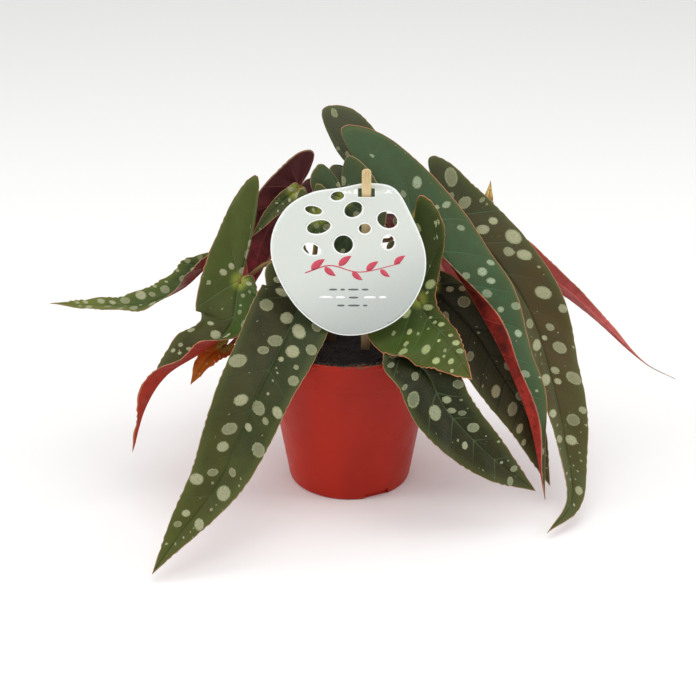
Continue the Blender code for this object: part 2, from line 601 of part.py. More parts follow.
def make_leaf(name, folder, finish):
    spec = LEAVES[name]
    sweep = Sweep(to_m(spec["line"]), spec["faces"], spec["fold"])
    halves = [half_edge([size * CM for size in sizes], sweep.length, spec["fullness"], LEAF_COLUMNS,
                        LOBE_COLUMNS) for sizes in spec["halves"]]
    height, count = spec["wave"]
    bm = bmesh.new()
    bmesh.ops.create_grid(bm, x_segments=LEAF_COLUMNS, y_segments=2 * HALF_ROWS, size=1)
    for v in bm.verts:
        column = round((v.co.x + 1) / 2 * LEAF_COLUMNS)
        row = round(v.co.y * HALF_ROWS)
        root, edge_x, edge_y = halves[0 if row > 0 else 1][column]
        share = abs(row) / HALF_ROWS
        along = root + (edge_x - root) * share
        flat = edge_y * share
        phase = math.tau * count * column / LEAF_COLUMNS + (0 if row > 0 else HALF_PHASE)
        ripple = height * CM * share ** 2 * math.sin(phase) * math.sin(math.pi * column / LEAF_COLUMNS)
        v.co = sweep.at(along, math.copysign(flat, row), ripple)
    bmesh.ops.remove_doubles(bm, verts=bm.verts, dist=WELD)
    mesh = bpy.data.meshes.new(name)
    bm.to_mesh(mesh)
    bm.free()
    obj = add(name, mesh, folder, finish)
    wall = obj.modifiers.new("thickness", "SOLIDIFY")
    wall.thickness = LEAF_THICKNESS
    wall.offset = 0
    for face in mesh.polygons:
        face.use_smooth = True
    return obj


def make_stalk(name, folder, finish):
    spec = LEAVES[name]
    cane, height, bend = spec["stalk"]
    axis, along_cane, cane_radius = cane_at(cane, height)
    sweep = Sweep(to_m(spec["line"]), spec["faces"], 0)
    stand_off = LEAF_THICKNESS / 2 + 4 * GAP
    end = sweep.at(0, 0, -stand_off)
    under = sweep.at(0, 0, -stand_off - STALK_NECK)
    bend = Vector(bend) * CM
    away = (bend - axis).normalized()
    slant = away.angle(along_cane)
    clear = (cane_radius + STALK_RADIUS * abs(math.cos(slant))) / math.sin(slant) + 2 * GAP
    start = axis + away * clear
    path = smooth_path([tuple(start), tuple(bend), under, end], 4)
    return tube(name.replace("leaf", "stalk"), path, [STALK_RADIUS] * len(path), folder, finish)


def main():
    for obj in list(bpy.data.objects):
        bpy.data.objects.remove(obj)
    folder = collection("polka_dot_begonia")
    tools = collection("cutters")
    make_pot(folder, tools, material("terracotta_plastic", (0.66, 0.085, 0.030), 0.42))
    make_soil(folder, tools, material("peat", (0.022, 0.015, 0.011), 0.95))
    make_card(folder, material("white_card", (0.72, 0.74, 0.76), 0.45))
    make_stick(folder, material("birch", (0.72, 0.52, 0.30), 0.65))
    cane_finish = material("cane", (0.16, 0.13, 0.05), 0.5)
    for name in CANES:
        make_cane(name, folder, cane_finish)
    stalk_finish = material("stalk", (0.20, 0.10, 0.04), 0.5)
    for name, spec in LEAVES.items():
        make_leaf(name, folder, material(name, spec["colour"], 0.4))
        make_stalk(name, folder, stalk_finish)


main()
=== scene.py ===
# %% [markdown]
# # A potted polka dot begonia
#
# The plant is an angel-wing begonia in a tapered nursery pot: three short canes in peat, a stalk from a cane
# to each lopsided leaf, silver spots above, crimson below, and a round plant card on a wooden stick.
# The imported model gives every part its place. Here each part gets its fine shape and its finish, in the
# same metres and the same axes: +Z up, the printed side of the card towards -Y.

# %% Load the frame
import math
import random

import bmesh
import bpy
import numpy as np
from mathutils import Matrix, Vector, noise


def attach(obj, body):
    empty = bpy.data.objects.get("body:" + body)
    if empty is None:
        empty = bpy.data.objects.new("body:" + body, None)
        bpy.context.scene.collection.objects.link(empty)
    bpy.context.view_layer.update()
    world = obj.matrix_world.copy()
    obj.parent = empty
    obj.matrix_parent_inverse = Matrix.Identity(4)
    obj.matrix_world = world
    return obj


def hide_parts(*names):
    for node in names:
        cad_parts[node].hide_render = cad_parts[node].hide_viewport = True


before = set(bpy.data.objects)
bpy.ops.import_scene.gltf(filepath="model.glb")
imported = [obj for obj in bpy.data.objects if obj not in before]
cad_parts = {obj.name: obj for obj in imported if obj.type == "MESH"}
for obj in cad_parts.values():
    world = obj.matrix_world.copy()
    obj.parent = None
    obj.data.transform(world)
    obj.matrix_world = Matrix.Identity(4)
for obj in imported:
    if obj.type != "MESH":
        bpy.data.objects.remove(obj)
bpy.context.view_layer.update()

# %% [markdown]
# ## Shared tools
#
# Outlines and stems are drawn with a few points and a smooth curve through them. A Catmull-Rom curve is
# chosen because it passes through its points, so a point can be read off as a place on the plant.

# %% Smooth lines
MM = 0.001
CM = 0.01


def smooth_path(points, per_span=12, closed=False):
    """Points on the Catmull-Rom curve through the given ones."""
    given = [np.array(p, float) for p in points]
    count = len(given)
    path = []
    for i in range(count if closed else count - 1):
        if closed:
            a, b, c, d = (given[(i + k) % count] for k in (-1, 0, 1, 2))
        else:
            b, c = given[i], given[i + 1]
            a = given[i - 1] if i else 2 * b - c
            d = given[i + 2] if i + 2 < count else 2 * c - b
        for k in range(per_span):
            t = k / per_span
            path.append(0.5 * (2 * b + (c - a) * t + (2 * a - 5 * b + 4 * c - d) * t * t
                               + (3 * b - a - 3 * c + d) * t ** 3))
    if not closed:
        path.append(given[-1])
    return np.array(path)


def walk(path):
    """How far each point of a line is from its start, along the line."""
    steps = np.linalg.norm(np.diff(path, axis=0), axis=1)
    return np.concatenate([[0], np.cumsum(steps)])


def to_m(points):
    return [tuple(np.array(p, float) * CM) for p in points]


# %% Pieces
def mesh_of(name, bm, smooth=True):
    """The bmesh as a mesh. Its faces keep the way they point."""
    mesh = bpy.data.meshes.new(name)
    bm.to_mesh(mesh)
    bm.free()
    for face in mesh.polygons:
        face.use_smooth = smooth
    return mesh


def piece(name, mesh, materials, node=None):
    """A finished piece at the origin, which rides with the plant and may stand for a CAD node."""
    obj = bpy.data.objects.new(name, mesh)
    bpy.context.scene.collection.objects.link(obj)
    mesh.materials.clear()
    for material in materials:
        mesh.materials.append(material)
    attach(obj, "root")
    if node:
        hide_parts(node)
    return obj


def applied(obj):
    """The object's mesh with its modifiers applied, in place of its own mesh."""
    bpy.context.view_layer.update()
    graph = bpy.context.evaluated_depsgraph_get()
    mesh = bpy.data.meshes.new_from_object(obj.evaluated_get(graph))
    obj.modifiers.clear()
    obj.data = mesh
    return obj


# %% Colours and node recipes
def shade(red, green, blue):
    """A colour given by the usual 0 to 255 numbers, as the linear numbers that a shader takes."""
    parts = [c / 255 for c in (red, green, blue)]
    return tuple(c / 12.92 if c < 0.04 else ((c + 0.055) / 1.055) ** 2.4 for c in parts)


class Recipe:
    """A Principled material, and short calls that add nodes to it. Each call returns a socket to wire on."""

    def __init__(self, name, colour, roughness, **sockets):
        self.material = bpy.data.materials.new(name)
        self.material.use_nodes = True
        self.tree = self.material.node_tree
        self.shader = self.tree.nodes["Principled BSDF"]
        self.fill(self.shader, {"Base Color": (*colour, 1), "Roughness": roughness})
        self.fill(self.shader, {key.replace("_", " "): value for key, value in sockets.items()})
        self.own = self.node("TexCoord").outputs["Object"]

    def fill(self, node, inputs):
        for key, value in inputs.items():
            if isinstance(value, bpy.types.NodeSocket):
                self.tree.links.new(value, node.inputs[key])
            else:
                node.inputs[key].default_value = value

    def node(self, kind, inputs=None, **settings):
        made = self.tree.nodes.new("ShaderNode" + kind)
        for key, value in settings.items():
            setattr(made, key, value)
        self.fill(made, inputs or {})
        return made

    def field(self, name):
        return self.node("Attribute", attribute_name=name).outputs["Fac"]

    def flat(self, name):
        return self.node("UVMap", uv_map=name).outputs["UV"]

    def stretched(self, scale, turn=(0, 0, 0), vector=None):
        feeds = {"Vector": vector or self.own, "Scale": scale, "Rotation": turn}
        return self.node("Mapping", feeds).outputs[0]

    def noise(self, scale, vector=None, detail=3, rough=0.55, warp=0):
        made = self.node("TexNoise", {"Vector": vector or self.own, "Scale": scale, "Detail": detail,
                                      "Roughness": rough, "Distortion": warp})
        return made.outputs["Fac"]

    def cells(self, scale, vector=None, output="Distance", loose=1.0):
        made = self.node("TexVoronoi", {"Vector": vector or self.own, "Scale": scale, "Randomness": loose})
        return made.outputs[output]

    def fade(self, value, low, high, start=0.0, end=1.0):
        made = self.node("MapRange", {"Value": value, "From Min": low, "From Max": high, "To Min": start,
                                      "To Max": end}, interpolation_type="SMOOTHSTEP")
        return made.outputs[0]

    def maths(self, operation, first, second=0.0):
        return self.node("Math", {0: first, 1: second}, operation=operation).outputs[0]

    def mix(self, share, first, second, kind="MIX"):
        ends = [c if isinstance(c, bpy.types.NodeSocket) else (*c, 1) for c in (first, second)]
        made = self.node("Mix", {0: share, 6: ends[0], 7: ends[1]}, data_type="RGBA", blend_type=kind)
        return made.outputs[2]

    def ramp(self, value, stops):
        """A colour ramp through (place, colour) stops, at least two of them."""
        made = self.node("ValToRGB", {"Fac": value})
        band = made.color_ramp.elements
        while len(band) < len(stops):
            band.new(0.5)
        for element, (at, colour) in zip(band, stops):
            element.position = at
            element.color = (*colour, 1)
        return made.outputs["Color"]

    def colour(self, socket):
        self.fill(self.shader, {"Base Color": socket})

    def rough(self, value, low, high):
        """Roughness that varies between low and high with a value from 0 to 1."""
        self.fill(self.shader, {"Roughness": self.fade(value, 0.25, 0.75, low, high)})

    def bump(self, height, depth, strength=1.0):
        """Relief of that depth in metres from a height between 0 and 1. A second call adds to the first."""
        last = self.shader.inputs["Normal"].links
        inputs = {"Height": height, "Distance": depth, "Strength": strength}
        if last:
            inputs["Normal"] = last[0].from_socket
        self.fill(self.shader, {"Normal": self.node("Bump", inputs).outputs["Normal"]})


# %% [markdown]
# ## The pot
#
# A thin nursery pot is moulded: one wall of even thickness, a taper so that pots stack, a straight collar for
# strength, a small rolled lip, and cut-outs at the foot edge that let water out. All of it but the cut-outs
# and the drain holes is round, so a profile is spun about the pot's axis. Corners of the profile are
# rounded first, because moulded plastic has no sharp edge and a sharp one would catch no light.

# %% Pot sizes
POT_HEIGHT = 0.115
POT_FOOT_RADIUS = 0.0440
POT_COLLAR_RADIUS = 0.0610
POT_RIM_RADIUS = 0.0635
POT_COLLAR_HEIGHT = 0.0220
POT_WALL = 0.0016
POT_FLOOR = 0.0055
POT_LIP = 0.0012
COLLAR_Z = POT_HEIGHT - POT_COLLAR_HEIGHT
WAIST_RADIUS = POT_COLLAR_RADIUS - POT_WALL
NOTCH_COUNT = 3
NOTCH_SIZE = (0.019, 0.0060, 0.0068)
NOTCH_MIDDLE_Z = 0.0014
NOTCH_TURN = math.radians(26)
DRAIN_COUNT = 6
DRAIN_RADIUS = 0.0040
DRAIN_RING = 0.026
POT_STEPS = 144


def wall_radius(z):
    """The pot's outer radius at a height."""
    if z > COLLAR_Z:
        return POT_COLLAR_RADIUS + (POT_RIM_RADIUS - POT_COLLAR_RADIUS) * (z - COLLAR_Z) / POT_COLLAR_HEIGHT
    return POT_FOOT_RADIUS + (WAIST_RADIUS - POT_FOOT_RADIUS) * z / COLLAR_Z


def rounded(corners, steps=4):
    """A line through (radius, height, rounding) corners, each turned into a soft bend of that size."""
    line = []
    for i, (r, z, soft) in enumerate(corners):
        here = np.array((r, z))
        if soft == 0 or i in (0, len(corners) - 1):
            line.append(here)
            continue
        ends = []
        for other in (corners[i - 1], corners[i + 1]):
            away = np.array(other[:2]) - here
            reach = min(soft, np.linalg.norm(away) / 2)
            ends.append(here + away / np.linalg.norm(away) * reach)
        for k in range(steps + 1):
            t = k / steps
            line.append((1 - t) ** 2 * ends[0] + 2 * t * (1 - t) * here + t * t * ends[1])
    return line


# %% Spin the pot
def spun(profile, steps):
    """A closed shell from a (radius, height) line whose ends lie on the axis."""
    bm = bmesh.new()
    verts = [bm.verts.new((r, 0, z)) for r, z in profile]
    edges = [bm.edges.new(pair) for pair in zip(verts, verts[1:])]
    bmesh.ops.spin(bm, geom=verts + edges, cent=(0, 0, 0), axis=(0, 0, 1), dvec=(0, 0, 0), angle=math.tau,
                   steps=steps, use_merge=True)
    bmesh.ops.remove_doubles(bm, verts=bm.verts, dist=1e-6)
    bmesh.ops.recalc_face_normals(bm, faces=bm.faces)
    return bm


def pot_profile():
    lip = POT_RIM_RADIUS + POT_LIP / 2
    foot = POT_FOOT_RADIUS
    return rounded([
        (0.0, 0.0004, 0), (0.030, 0.0004, 0.0004), (0.0312, 0.0, 0.0004), (foot - 0.0004, 0.0, 0.0016),
        (wall_radius(0.003), 0.003, 0.001), (WAIST_RADIUS, COLLAR_Z - 0.0004, 0.0004),
        (POT_COLLAR_RADIUS, COLLAR_Z + 0.0002, 0.0006), (POT_RIM_RADIUS, POT_HEIGHT - 0.0032, 0.0006),
        (lip, POT_HEIGHT - 0.0026, 0.0004), (lip, POT_HEIGHT, 0.0007),
        (POT_RIM_RADIUS - POT_WALL + 0.0004, POT_HEIGHT, 0.0006),
        (POT_RIM_RADIUS - POT_WALL, POT_HEIGHT - 0.0016, 0.0006),
        (POT_COLLAR_RADIUS - POT_WALL, COLLAR_Z + 0.0005, 0.0006),
        (WAIST_RADIUS - POT_WALL, COLLAR_Z - 0.002, 0.0008),
        (wall_radius(POT_FLOOR) - POT_WALL, POT_FLOOR, 0.0012), (0.0, POT_FLOOR, 0),
    ])


def cutters():
    """One mesh that holds the blocks for the foot's cut-outs and the rods for the drain holes."""
    bm = bmesh.new()
    for i in range(NOTCH_COUNT):
        turn = Matrix.Rotation(NOTCH_TURN + i * math.tau / NOTCH_COUNT, 4, "Z")
        spot = turn @ Matrix.Translation((0, -POT_FOOT_RADIUS, NOTCH_MIDDLE_Z))
        bmesh.ops.create_cube(bm, size=1, matrix=spot @ Matrix.Diagonal((*NOTCH_SIZE, 1)))
    for i in range(DRAIN_COUNT):
        angle = (i + 0.5) * math.tau / DRAIN_COUNT
        spot = Matrix.Translation((DRAIN_RING * math.cos(angle), DRAIN_RING * math.sin(angle), POT_FLOOR / 2))
        bmesh.ops.create_cone(bm, cap_ends=True, segments=32, radius1=DRAIN_RADIUS, radius2=DRAIN_RADIUS,
                              depth=3 * POT_FLOOR, matrix=spot)
    obj = bpy.data.objects.new("pot_cutters", mesh_of("pot_cutters", bm))
    bpy.context.scene.collection.objects.link(obj)
    return obj


def make_pot(material):
    pot = piece("flower_pot", mesh_of("flower_pot", spun(pot_profile(), POT_STEPS)), [material], "pot")
    tool = cutters()
    cut = pot.modifiers.new("cut_outs", "BOOLEAN")
    cut.operation = "DIFFERENCE"
    cut.object = tool
    applied(pot)
    bpy.data.objects.remove(tool)
    for face in pot.data.polygons:
        face.use_smooth = True
    pot.data.set_sharp_from_angle(angle=math.radians(40))
    print("flower_pot:", len(pot.data.polygons), "faces")
    return pot


# %% [markdown]
# The plastic is a satin orange red. Moulded plastic isn't quite even: the colour drifts a little where it
# flowed, faint rings and a dusty film sit on the wall, and specks of dried peat are dotted over it. The noise
# is stretched round the pot, so that the unevenness runs in bands as the flow does.

# %% Pot plastic
def pot_plastic():
    r = Recipe("pot_plastic", POT_RED, 0.42, IOR=1.49, Specular_IOR_Level=0.22)
    drift = r.noise(18, r.stretched((1, 1, 0.35)), detail=4)
    base = r.mix(r.fade(drift, 0.35, 0.7), POT_RED, POT_RED_DEEP)
    dust = r.fade(r.noise(140, detail=6, rough=0.7), 0.55, 0.78, 0, 0.16)
    dusty = r.mix(dust, base, POT_DUST)
    specks = r.fade(r.cells(330), 0.05, 0.10, 1, 0)
    rare = r.fade(r.noise(60), 0.62, 0.68)
    r.colour(r.mix(r.maths("MULTIPLY", r.maths("MULTIPLY", specks, rare), 0.7), dusty, PEAT_DARK))
    r.rough(r.noise(90, detail=5), 0.34, 0.50)
    r.bump(r.noise(900, detail=2), 0.00004)
    r.bump(r.noise(9, r.stretched((1, 1, 6))), 0.0003)
    return r.material


POT_RED = shade(166, 29, 4)
POT_RED_DEEP = shade(150, 24, 3)
POT_DUST = shade(184, 66, 30)
PEAT_DARK = shade(18, 13, 11)
make_pot(pot_plastic())

# %% [markdown]
# ## The peat
#
# The pot is filled with dark peat to just under its lip. From above it is a lumpy surface with crumbs and
# fine roots. The plug is a grid pulled into a round, which keeps its squares even, then raised and sunk by
# noise; its edge is drawn down the wall to the pot's floor, so it stays one closed solid as the CAD one is.

# %% Peat plug
SOIL_TOP = 0.1065
SOIL_CROWN = 0.0020
PLUG_CELLS = 90
WALL_GAP = 0.0006


def soil_height(x, y):
    """The lumpy top of the peat, a little higher at the front where it was pressed to the lip."""
    far = math.hypot(x, y) / wall_radius(SOIL_TOP)
    lumps = noise.fractal(Vector((x, y, 0.3)) * 90, 0.9, 2.0, 4) * 0.0011
    clods = noise.noise(Vector((x, y, 1.7)) * 35) * 0.0013
    return SOIL_TOP - SOIL_CROWN * far * far + (lumps + clods) * (1 - 0.4 * far)


def make_peat(material):
    bm = bmesh.new()
    bmesh.ops.create_grid(bm, x_segments=PLUG_CELLS, y_segments=PLUG_CELLS, size=1)
    reach = wall_radius(SOIL_TOP - SOIL_CROWN) - POT_WALL - WALL_GAP
    for v in bm.verts:
        x = v.co.x * math.sqrt(1 - v.co.y ** 2 / 2) * reach
        y = v.co.y * math.sqrt(1 - v.co.x ** 2 / 2) * reach
        v.co = (x, y, soil_height(x, y))
    rim = [e for e in bm.edges if e.is_boundary]
    for z in (COLLAR_Z - 0.003, POT_FLOOR + 0.0004):
        sides = bmesh.ops.extrude_edge_only(bm, edges=rim)["geom"]
        rim = [e for e in sides if isinstance(e, bmesh.types.BMEdge) and e.is_boundary]
        inside = wall_radius(z) - POT_WALL - 2 * WALL_GAP
        for v in {v for e in rim for v in e.verts}:
            v.co *= inside / math.hypot(v.co.x, v.co.y)
            v.co.z = z
    bmesh.ops.contextual_create(bm, geom=rim)
    bmesh.ops.recalc_face_normals(bm, faces=bm.faces)
    plug = piece("peat_plug", mesh_of("peat_plug", bm), [material], "potting_soil")
    print("peat_plug:", len(plug.data.polygons), "faces")


# %% [markdown]
# Crumbs and fibres break the smooth skin. A crumb is an icosphere of 20 faces, squeezed and turned, and a
# few hundred of them are one piece. They are scattered by a seeded draw, so each run gives the same pot.

# %% Crumbs of peat
CRUMB_COUNT = 950
RIM_CRUMBS = 60


def add_crumb(bm, at, size, draw):
    angle = draw.uniform(0, math.tau)
    turn = Matrix.Rotation(angle, 4, Vector((draw.uniform(-1, 1), draw.uniform(-1, 1), 1)))
    squeeze = Matrix.Diagonal((draw.uniform(0.7, 1.5), draw.uniform(0.6, 1.1), draw.uniform(0.5, 0.9), 1))
    place = Matrix.Translation(at) @ turn @ squeeze
    bmesh.ops.create_icosphere(bm, subdivisions=1, radius=size, matrix=place)


def make_crumbs(material):
    draw = random.Random(11)
    bm = bmesh.new()
    reach = wall_radius(SOIL_TOP) - POT_WALL - 0.0016
    for _ in range(CRUMB_COUNT):
        far = reach * math.sqrt(draw.random())
        angle = draw.uniform(0, math.tau)
        x, y = far * math.cos(angle), far * math.sin(angle)
        size = draw.choice((0.0005, 0.0007, 0.0009, 0.0013))
        add_crumb(bm, (x, y, soil_height(x, y) + 0.2 * size), size, draw)
    for _ in range(RIM_CRUMBS):
        angle = math.radians(draw.gauss(-86, 9))
        far = POT_RIM_RADIUS - draw.uniform(0.0004, 0.0030)
        lift = POT_HEIGHT if far > POT_RIM_RADIUS - POT_WALL else POT_HEIGHT - 0.0012
        at = (far * math.cos(angle), far * math.sin(angle), lift)
        add_crumb(bm, at, draw.uniform(0.0003, 0.0007), draw)
    bmesh.ops.recalc_face_normals(bm, faces=bm.faces)
    crumbs = piece("peat_crumbs", mesh_of("peat_crumbs", bm, smooth=False), [material], None)
    print("peat_crumbs:", len(crumbs.data.polygons), "faces")


# %% Peat finish
def peat(name, dark, light):
    r = Recipe(name, dark, 0.92)
    grain = r.noise(420, detail=6, rough=0.7)
    tufts = r.noise(60, detail=3)
    r.colour(r.mix(r.fade(tufts, 0.35, 0.75, 0, 0.6), r.mix(r.fade(grain, 0.4, 0.75), dark, light), light))
    r.rough(grain, 0.8, 0.98)
    r.bump(grain, 0.0006)
    return r.material


make_peat(peat("peat", shade(14, 11, 9), shade(36, 27, 21)))
make_crumbs(peat("peat_crumb", shade(20, 15, 12), shade(58, 42, 32)))

# %% [markdown]
# ## Round stems
#
# Canes, leaf stalks and roots are all round and bent. Each is a grid rolled up round a line: one side of the
# grid runs along the line and the other goes round it, then the seam is merged and the ends are closed.
# A list of radii gives it its taper, the swollen rings at a cane's joints and its rounded ends.

# %% Roll a grid into a stem
def frames_along(path):
    """At each point of a line, two directions square to it, turned as little as can be between points."""
    tangents = np.gradient(path, axis=0)
    tangents /= np.linalg.norm(tangents, axis=1)[:, None]
    start = Vector(tangents[0]).orthogonal().normalized()
    sides = [np.array(start)]
    for t in tangents[1:]:
        side = sides[-1] - t * (sides[-1] @ t)
        sides.append(side / np.linalg.norm(side))
    sides = np.array(sides)
    return sides, np.cross(tangents, sides)


def add_stem(bm, path, radii, around=12):
    rings = len(path) - 1
    made = bmesh.ops.create_grid(bm, x_segments=rings, y_segments=around, size=1)["verts"]
    sides, others = frames_along(path)
    for v in made:
        i = round((v.co.x + 1) / 2 * rings)
        angle = round((v.co.y + 1) / 2 * around) * math.tau / around
        v.co = path[i] + radii[i] * (math.cos(angle) * sides[i] + math.sin(angle) * others[i])
    bmesh.ops.remove_doubles(bm, verts=made, dist=1e-7)
    ends = [e for e in bm.edges if e.is_boundary]
    bmesh.ops.holes_fill(bm, edges=ends, sides=0)


def round_ends(radii, path, first=True, last=True):
    """Radii that shrink as a ball's do over the last stretch of each rounded end."""
    gone = walk(path)
    radii = np.array(radii, float)
    for wanted, left in ((first, gone), (last, gone[-1] - gone)):
        if wanted:
            share = np.clip(left / radii.max(), 0.02, 1)
            radii = radii * np.sqrt(1 - (1 - share) ** 2)
    return radii


def tight_ends(path, count=5, reach=0.002):
    """Adds points near both ends of a line, where rounded ends need them."""
    gone = walk(path)
    more = reach * (np.arange(1, count) / count) ** 2
    wanted = np.unique(np.concatenate([gone, more, gone[-1] - more]))
    return np.array([np.interp(wanted, gone, path[:, k]) for k in range(3)]).T


def stem_mesh(name, path, radii, around=12):
    bm = bmesh.new()
    add_stem(bm, path, radii, around)
    bmesh.ops.recalc_face_normals(bm, faces=bm.faces)
    return mesh_of(name, bm)


# %% [markdown]
# ## Canes
#
# A begonia's cane is smooth and jointed, like thin bamboo: green where young, brown below, with a swollen
# ring where each leaf grew. Its top ends in a small bud. The swelling is put into the radii.

# %% Canes
CANES = {
    "cane_left": ([(-1.3, 0.2, 7.6), (-1.3, 0.2, 10.4), (-1.9, 0.3, 13.2), (-2.8, 0.4, 15.6),
                   (-3.3, 0.6, 17.4)], 0.0043, 0.0030),
    "cane_right": ([(1.5, 0.6, 7.6), (1.5, 0.6, 10.4), (2.2, 1.0, 13.2), (2.8, 1.3, 15.8),
                    (3.0, 1.6, 17.6)], 0.0045, 0.0030),
    "cane_back": ([(0.0, 2.5, 7.6), (0.0, 2.5, 10.4), (-0.3, 3.3, 14.2), (0.0, 3.7, 16.8),
                   (0.1, 4.0, 18.4)], 0.0040, 0.0025),
}
JOINT_SWELL = 0.16
JOINT_LENGTH = 0.0022


def joint_heights(cane):
    """The heights on a cane, in metres, at which the leaves' stalks leave it."""
    return [spec["stalk"][1] * CM for spec in LEAVES.values() if spec["stalk"][0] == cane]


def make_cane(name, material):
    points, thick, thin = CANES[name]
    path = tight_ends(smooth_path(to_m(points), 26), reach=0.004)
    radii = np.linspace(thick, thin, len(path))
    for z in joint_heights(name):
        radii *= 1 + JOINT_SWELL * np.exp(-((path[:, 2] - z) / JOINT_LENGTH) ** 2)
    mesh = stem_mesh(name, path, round_ends(radii, path, first=False), 20)
    piece("stem_" + name, mesh, [material], name)


def cane_at(name, height_cm):
    """The cane's axis point, direction and radius at a height."""
    points, thick, thin = CANES[name]
    path = smooth_path(to_m(points), 12)
    share = np.linspace(0, 1, len(path))
    here = np.interp(height_cm * CM, path[:, 2], share)
    at = Vector([np.interp(here, share, path[:, k]) for k in range(3)])
    step = max(int(here * (len(path) - 1)) - 1, 0)
    direction = Vector(path[step + 2] - path[step]).normalized()
    return at, direction, thick + (thin - thick) * here


def stem_skin(name, young, old, low, high):
    """Stem finish: young colour high up and old colour low down, with fine streaks and pale pores."""
    r = Recipe(name, young, 0.42, IOR=1.45)
    height = r.node("SeparateXYZ", {"Vector": r.own}).outputs["Z"]
    streaks = r.noise(160, r.stretched((1, 1, 0.2)), detail=4)
    base = r.mix(r.fade(height, low, high), old, young)
    pores = r.fade(r.cells(520, r.stretched((1, 1, 0.55))), 0.10, 0.18, 0.55, 0)
    streaked = r.mix(r.fade(streaks, 0.4, 0.7, 0, 0.45), base, old)
    r.colour(r.mix(pores, streaked, STEM_PORE))
    r.rough(streaks, 0.34, 0.55)
    r.bump(streaks, 0.0002)
    return r.material


STEM_PORE = shade(150, 128, 92)

# %% [markdown]
# ## The leaves
#
# An angel-wing leaf is lopsided: one lobe beside the stalk is bigger than the other, the blade narrows to a
# drawn-out tip, and each one droops, folds or curls in its own way. One description fits them all: a bent
# midrib, the way the upper side faces along it, the sizes of the two halves, and how far they fold. The
# numbers are the CAD leaves' own, so each blade lies where its CAD leaf does.

# %% One leaf's description
def leaf(line, faces, halves, fold, fullness, wave, stalk):
    """One leaf in centimetres. line runs from behind the stalk, through the stalk's end, to the tip.
    faces gives the way the upper side looks at each of those points. halves is (lobe, lobe's width, blade's
    width) for the half on the side of line x face, then for the other half. fold raises both halves like
    a V, in degrees. wave is the height and the number of the ripples along each edge. stalk is its cane,
    the height that it leaves it at, and the point where it bends."""
    return dict(line=line, faces=faces, halves=halves, fold=fold, fullness=fullness, wave=wave, stalk=stalk)


